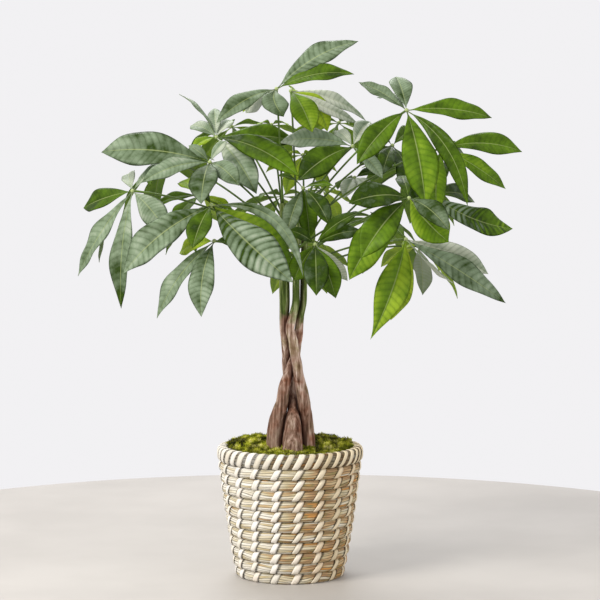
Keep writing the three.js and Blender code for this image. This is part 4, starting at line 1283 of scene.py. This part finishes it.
coil_piece = finish_piece(bm, "seagrass_coils", [seagrass], "seagrass", "basket")
print("coils", len(coils), "faces", len(coil_piece.data.polygons))

# %% [markdown]
# ## Palm straps
#
# Each strap is a flat strip of bleached palm leaf, cream white, with fine
# parallel fibres. It comes out between two coils, leans over the upper one and
# goes in again above it. On the rim the straps are wider and lie close together,
# the more so on the left. On the right, away from the light, they have bleached
# less. A strap is two grids welded at their edges, as a blade is, wrapped over
# the section of its coil. It has only 80 faces, because there are hundreds.
# Straps painted on the coils would be simpler, but they would lie flat and cast
# no shadow.

# %% Strap material
palm, tree = new_material("bleached_palm_strap")
where = add_node(tree, "TexCoord")
tone = add_node(tree, "Attribute", attribute_name="tone")
hue = add_node(tree, "ValToRGB", {"Fac": tone.outputs["Fac"]},
               stops=[(0.0, "#c6bba2"), (0.35, "#ece6d8"), (0.75, "#faf6ee"), (1.0, "#f0e4d4")])
place = add_node(tree, "SeparateXYZ", {"Vector": where.outputs["Object"]})
unbleached = add_node(tree, "MapRange", {"Value": place.outputs["X"], "From Min": -0.01, "From Max": 0.05})
warm = add_node(tree, "Mix", {0: unbleached, MIX_A: hue, MIX_B: linear("#eee2c8")}, **MULTIPLY)
fibre_map = add_node(tree, "Mapping", {"Vector": where.outputs["UV"], "Scale": (0.9, 11.0, 1.0)})
fibres = add_node(tree, "TexNoise", {"Vector": fibre_map, "Scale": 1.0, "Detail": 3.0})
streaky = add_node(tree, "MapRange", {"Value": fibres, "From Min": 0.3, "From Max": 0.7, "To Min": 0.76,
                                      "To Max": 1.06})
shade = add_node(tree, "Mix", {0: 1.0, MIX_A: warm, MIX_B: streaky}, **MULTIPLY)
bump = add_node(tree, "Bump", {"Height": fibres, "Strength": 0.5, "Distance": 0.0004})
skin = add_node(tree, "BsdfPrincipled", {"Base Color": shade, "Roughness": 0.55, "Normal": bump})
add_node(tree, "OutputMaterial", {"Surface": skin})
print(palm.name, "has", len(tree.nodes), "nodes")

# %% Straps
STRAP_STEPS = 10
STRAP_COLUMNS = 4
STRAP_THICKNESS = 0.8
STRAP_LIFT = 0.85
STRAP_OVERLAP = 0.5
STRAP_REACH = math.radians(104)
# How the straps differ: the least and greatest share of the usual lean and width, and the spread
# in mm of their places
STRAP_LEANS = (0.8, 1.2)
STRAP_WIDTHS = (0.84, 1.08)
STRAP_SHIFT = 0.5
# How far a strap's middle stands over its edges in mm, and how much it narrows to its ends
STRAP_CUP = 0.2
STRAP_NARROWING = 0.2
# The least and the greatest tone of a strap. The rim's straps have the darker tones.
WALL_TONES = (0.3, 1.0)
RIM_TONES = (0.12, 0.6)


def add_strap(bm, number, coil, strap, turn, dice):
    """Wrap one strap over its coil."""
    radius, height, half_height, _ = coil
    half_width, lean_share, facing = strap
    lean = lean_share * 2 * half_height * lean_at(turn) * dice.uniform(*STRAP_LEANS)
    width = half_width * dice.uniform(*STRAP_WIDTHS)
    if number == RIM_ROW:
        width *= 1 - RIM_WIDTH_CHANGE * math.sin(turn)
    shift = dice.gauss(0, STRAP_SHIFT)
    offset = dice.random() * 40
    height += wander_at(number, Vector((math.sin(turn), -math.cos(turn), 0.0)) * radius)

    def strap_place(sign):
        def place(i, j):
            t = 2 * i / STRAP_STEPS - 1
            s = 2 * j / STRAP_COLUMNS - 1
            section = facing + t * STRAP_REACH
            out, up = section_point(section)
            skin = sign * STRAP_THICKNESS / 2 * (1 - s ** 4) * (1 - t ** 8) - STRAP_CUP * s * s
            distance = radius + (COIL_HALF_DEPTH + STRAP_LIFT + skin) * out
            rise = (half_height + STRAP_OVERLAP + skin * 0.6) * up
            leaning = up if abs(section) < math.pi / 2 else math.copysign(1.0, section)
            slide = s * width * (1 - STRAP_NARROWING * t * t) + lean * leaning + shift
            angle = turn + slide / radius
            return Vector((math.sin(angle) * distance, -math.cos(angle) * distance, max(height + rise, 0.0)))
        return place

    tone = dice.uniform(*(RIM_TONES if number == RIM_ROW else WALL_TONES))
    both = []
    for sign in (1, -1):
        both += shaped_grid(bm, STRAP_STEPS, STRAP_COLUMNS, strap_place(sign), 0, tone,
                            lambda u, v: (u + offset, v + offset))
    weld(bm, both)


dice = random.Random(21)
bm = new_piece()
strap_total = 0
for number, (coil, strap) in enumerate(coils):
    for k in range(coil[-1]):
        add_strap(bm, number, coil, strap, STRAP_START + 2 * math.pi * k / coil[-1], dice)
    strap_total += coil[-1]
straps = finish_piece(bm, "palm_straps", [palm], "seagrass")
print("straps", strap_total, "faces", len(straps.data.polygons))

# %% [markdown]
# ## Grow pot and soil
#
# Both are out of sight under the moss, and keep their solids. The pot is a thin
# moulded polypropylene grow pot, near black and slightly shiny, with the fine
# grain that moulds leave. The soil is dark potting mix, with crumbs a few
# millimetres across and pale specks of perlite.

# %% Pot and soil materials
# The grain of the mould is 1.1 mm apart and crumbs 3 mm. Both are given in a metre.
POT_GRAIN = 900.0
SOIL_CRUMBS = 330.0
# The share of a crumb's chance from which it is perlite
PERLITE_FROM = 0.94

plastic, tree = new_material("moulded_polypropylene")
where = add_node(tree, "TexCoord")
grain = add_node(tree, "TexNoise", {"Vector": where.outputs["Object"], "Scale": POT_GRAIN})
worn = add_node(tree, "ValToRGB", {"Fac": grain}, stops=[(0.3, "#1f2020"), (0.7, "#2c2d2c")])
bump = add_node(tree, "Bump", {"Height": grain, "Strength": 0.2, "Distance": 0.0002})
skin = add_node(tree, "BsdfPrincipled", {"Base Color": worn, "Roughness": 0.45, "Normal": bump})
add_node(tree, "OutputMaterial", {"Surface": skin})

potting_mix, tree = new_material("potting_mix")
where = add_node(tree, "TexCoord")
crumbs = add_node(tree, "TexVoronoi", {"Vector": where.outputs["Object"], "Scale": SOIL_CRUMBS})
earth = add_node(tree, "ValToRGB", {"Fac": crumbs},
                 stops=[(0.0, "#4a3524"), (0.5, "#2e2016"), (1.0, "#15100b")])
own = add_node(tree, "SeparateXYZ", {"Vector": crumbs.outputs["Color"]})
perlite_share = add_node(tree, "Math", {0: own.outputs["X"], 1: PERLITE_FROM}, operation="GREATER_THAN")
speckled = add_node(tree, "Mix", {0: perlite_share, MIX_A: earth, MIX_B: linear("#d8d2c8")}, **BLEND)
bump = add_node(tree, "Bump", {"Height": crumbs, "Strength": 0.8, "Distance": 0.0015})
skin = add_node(tree, "BsdfPrincipled", {"Base Color": speckled, "Roughness": 0.95, "Normal": bump})
add_node(tree, "OutputMaterial", {"Surface": skin})

for node, material in (("nursery_pot", plastic), ("soil", potting_mix)):
    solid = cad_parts[node]
    solid.data.materials.clear()
    solid.data.materials.append(material)
    print(node, "has", material.name)
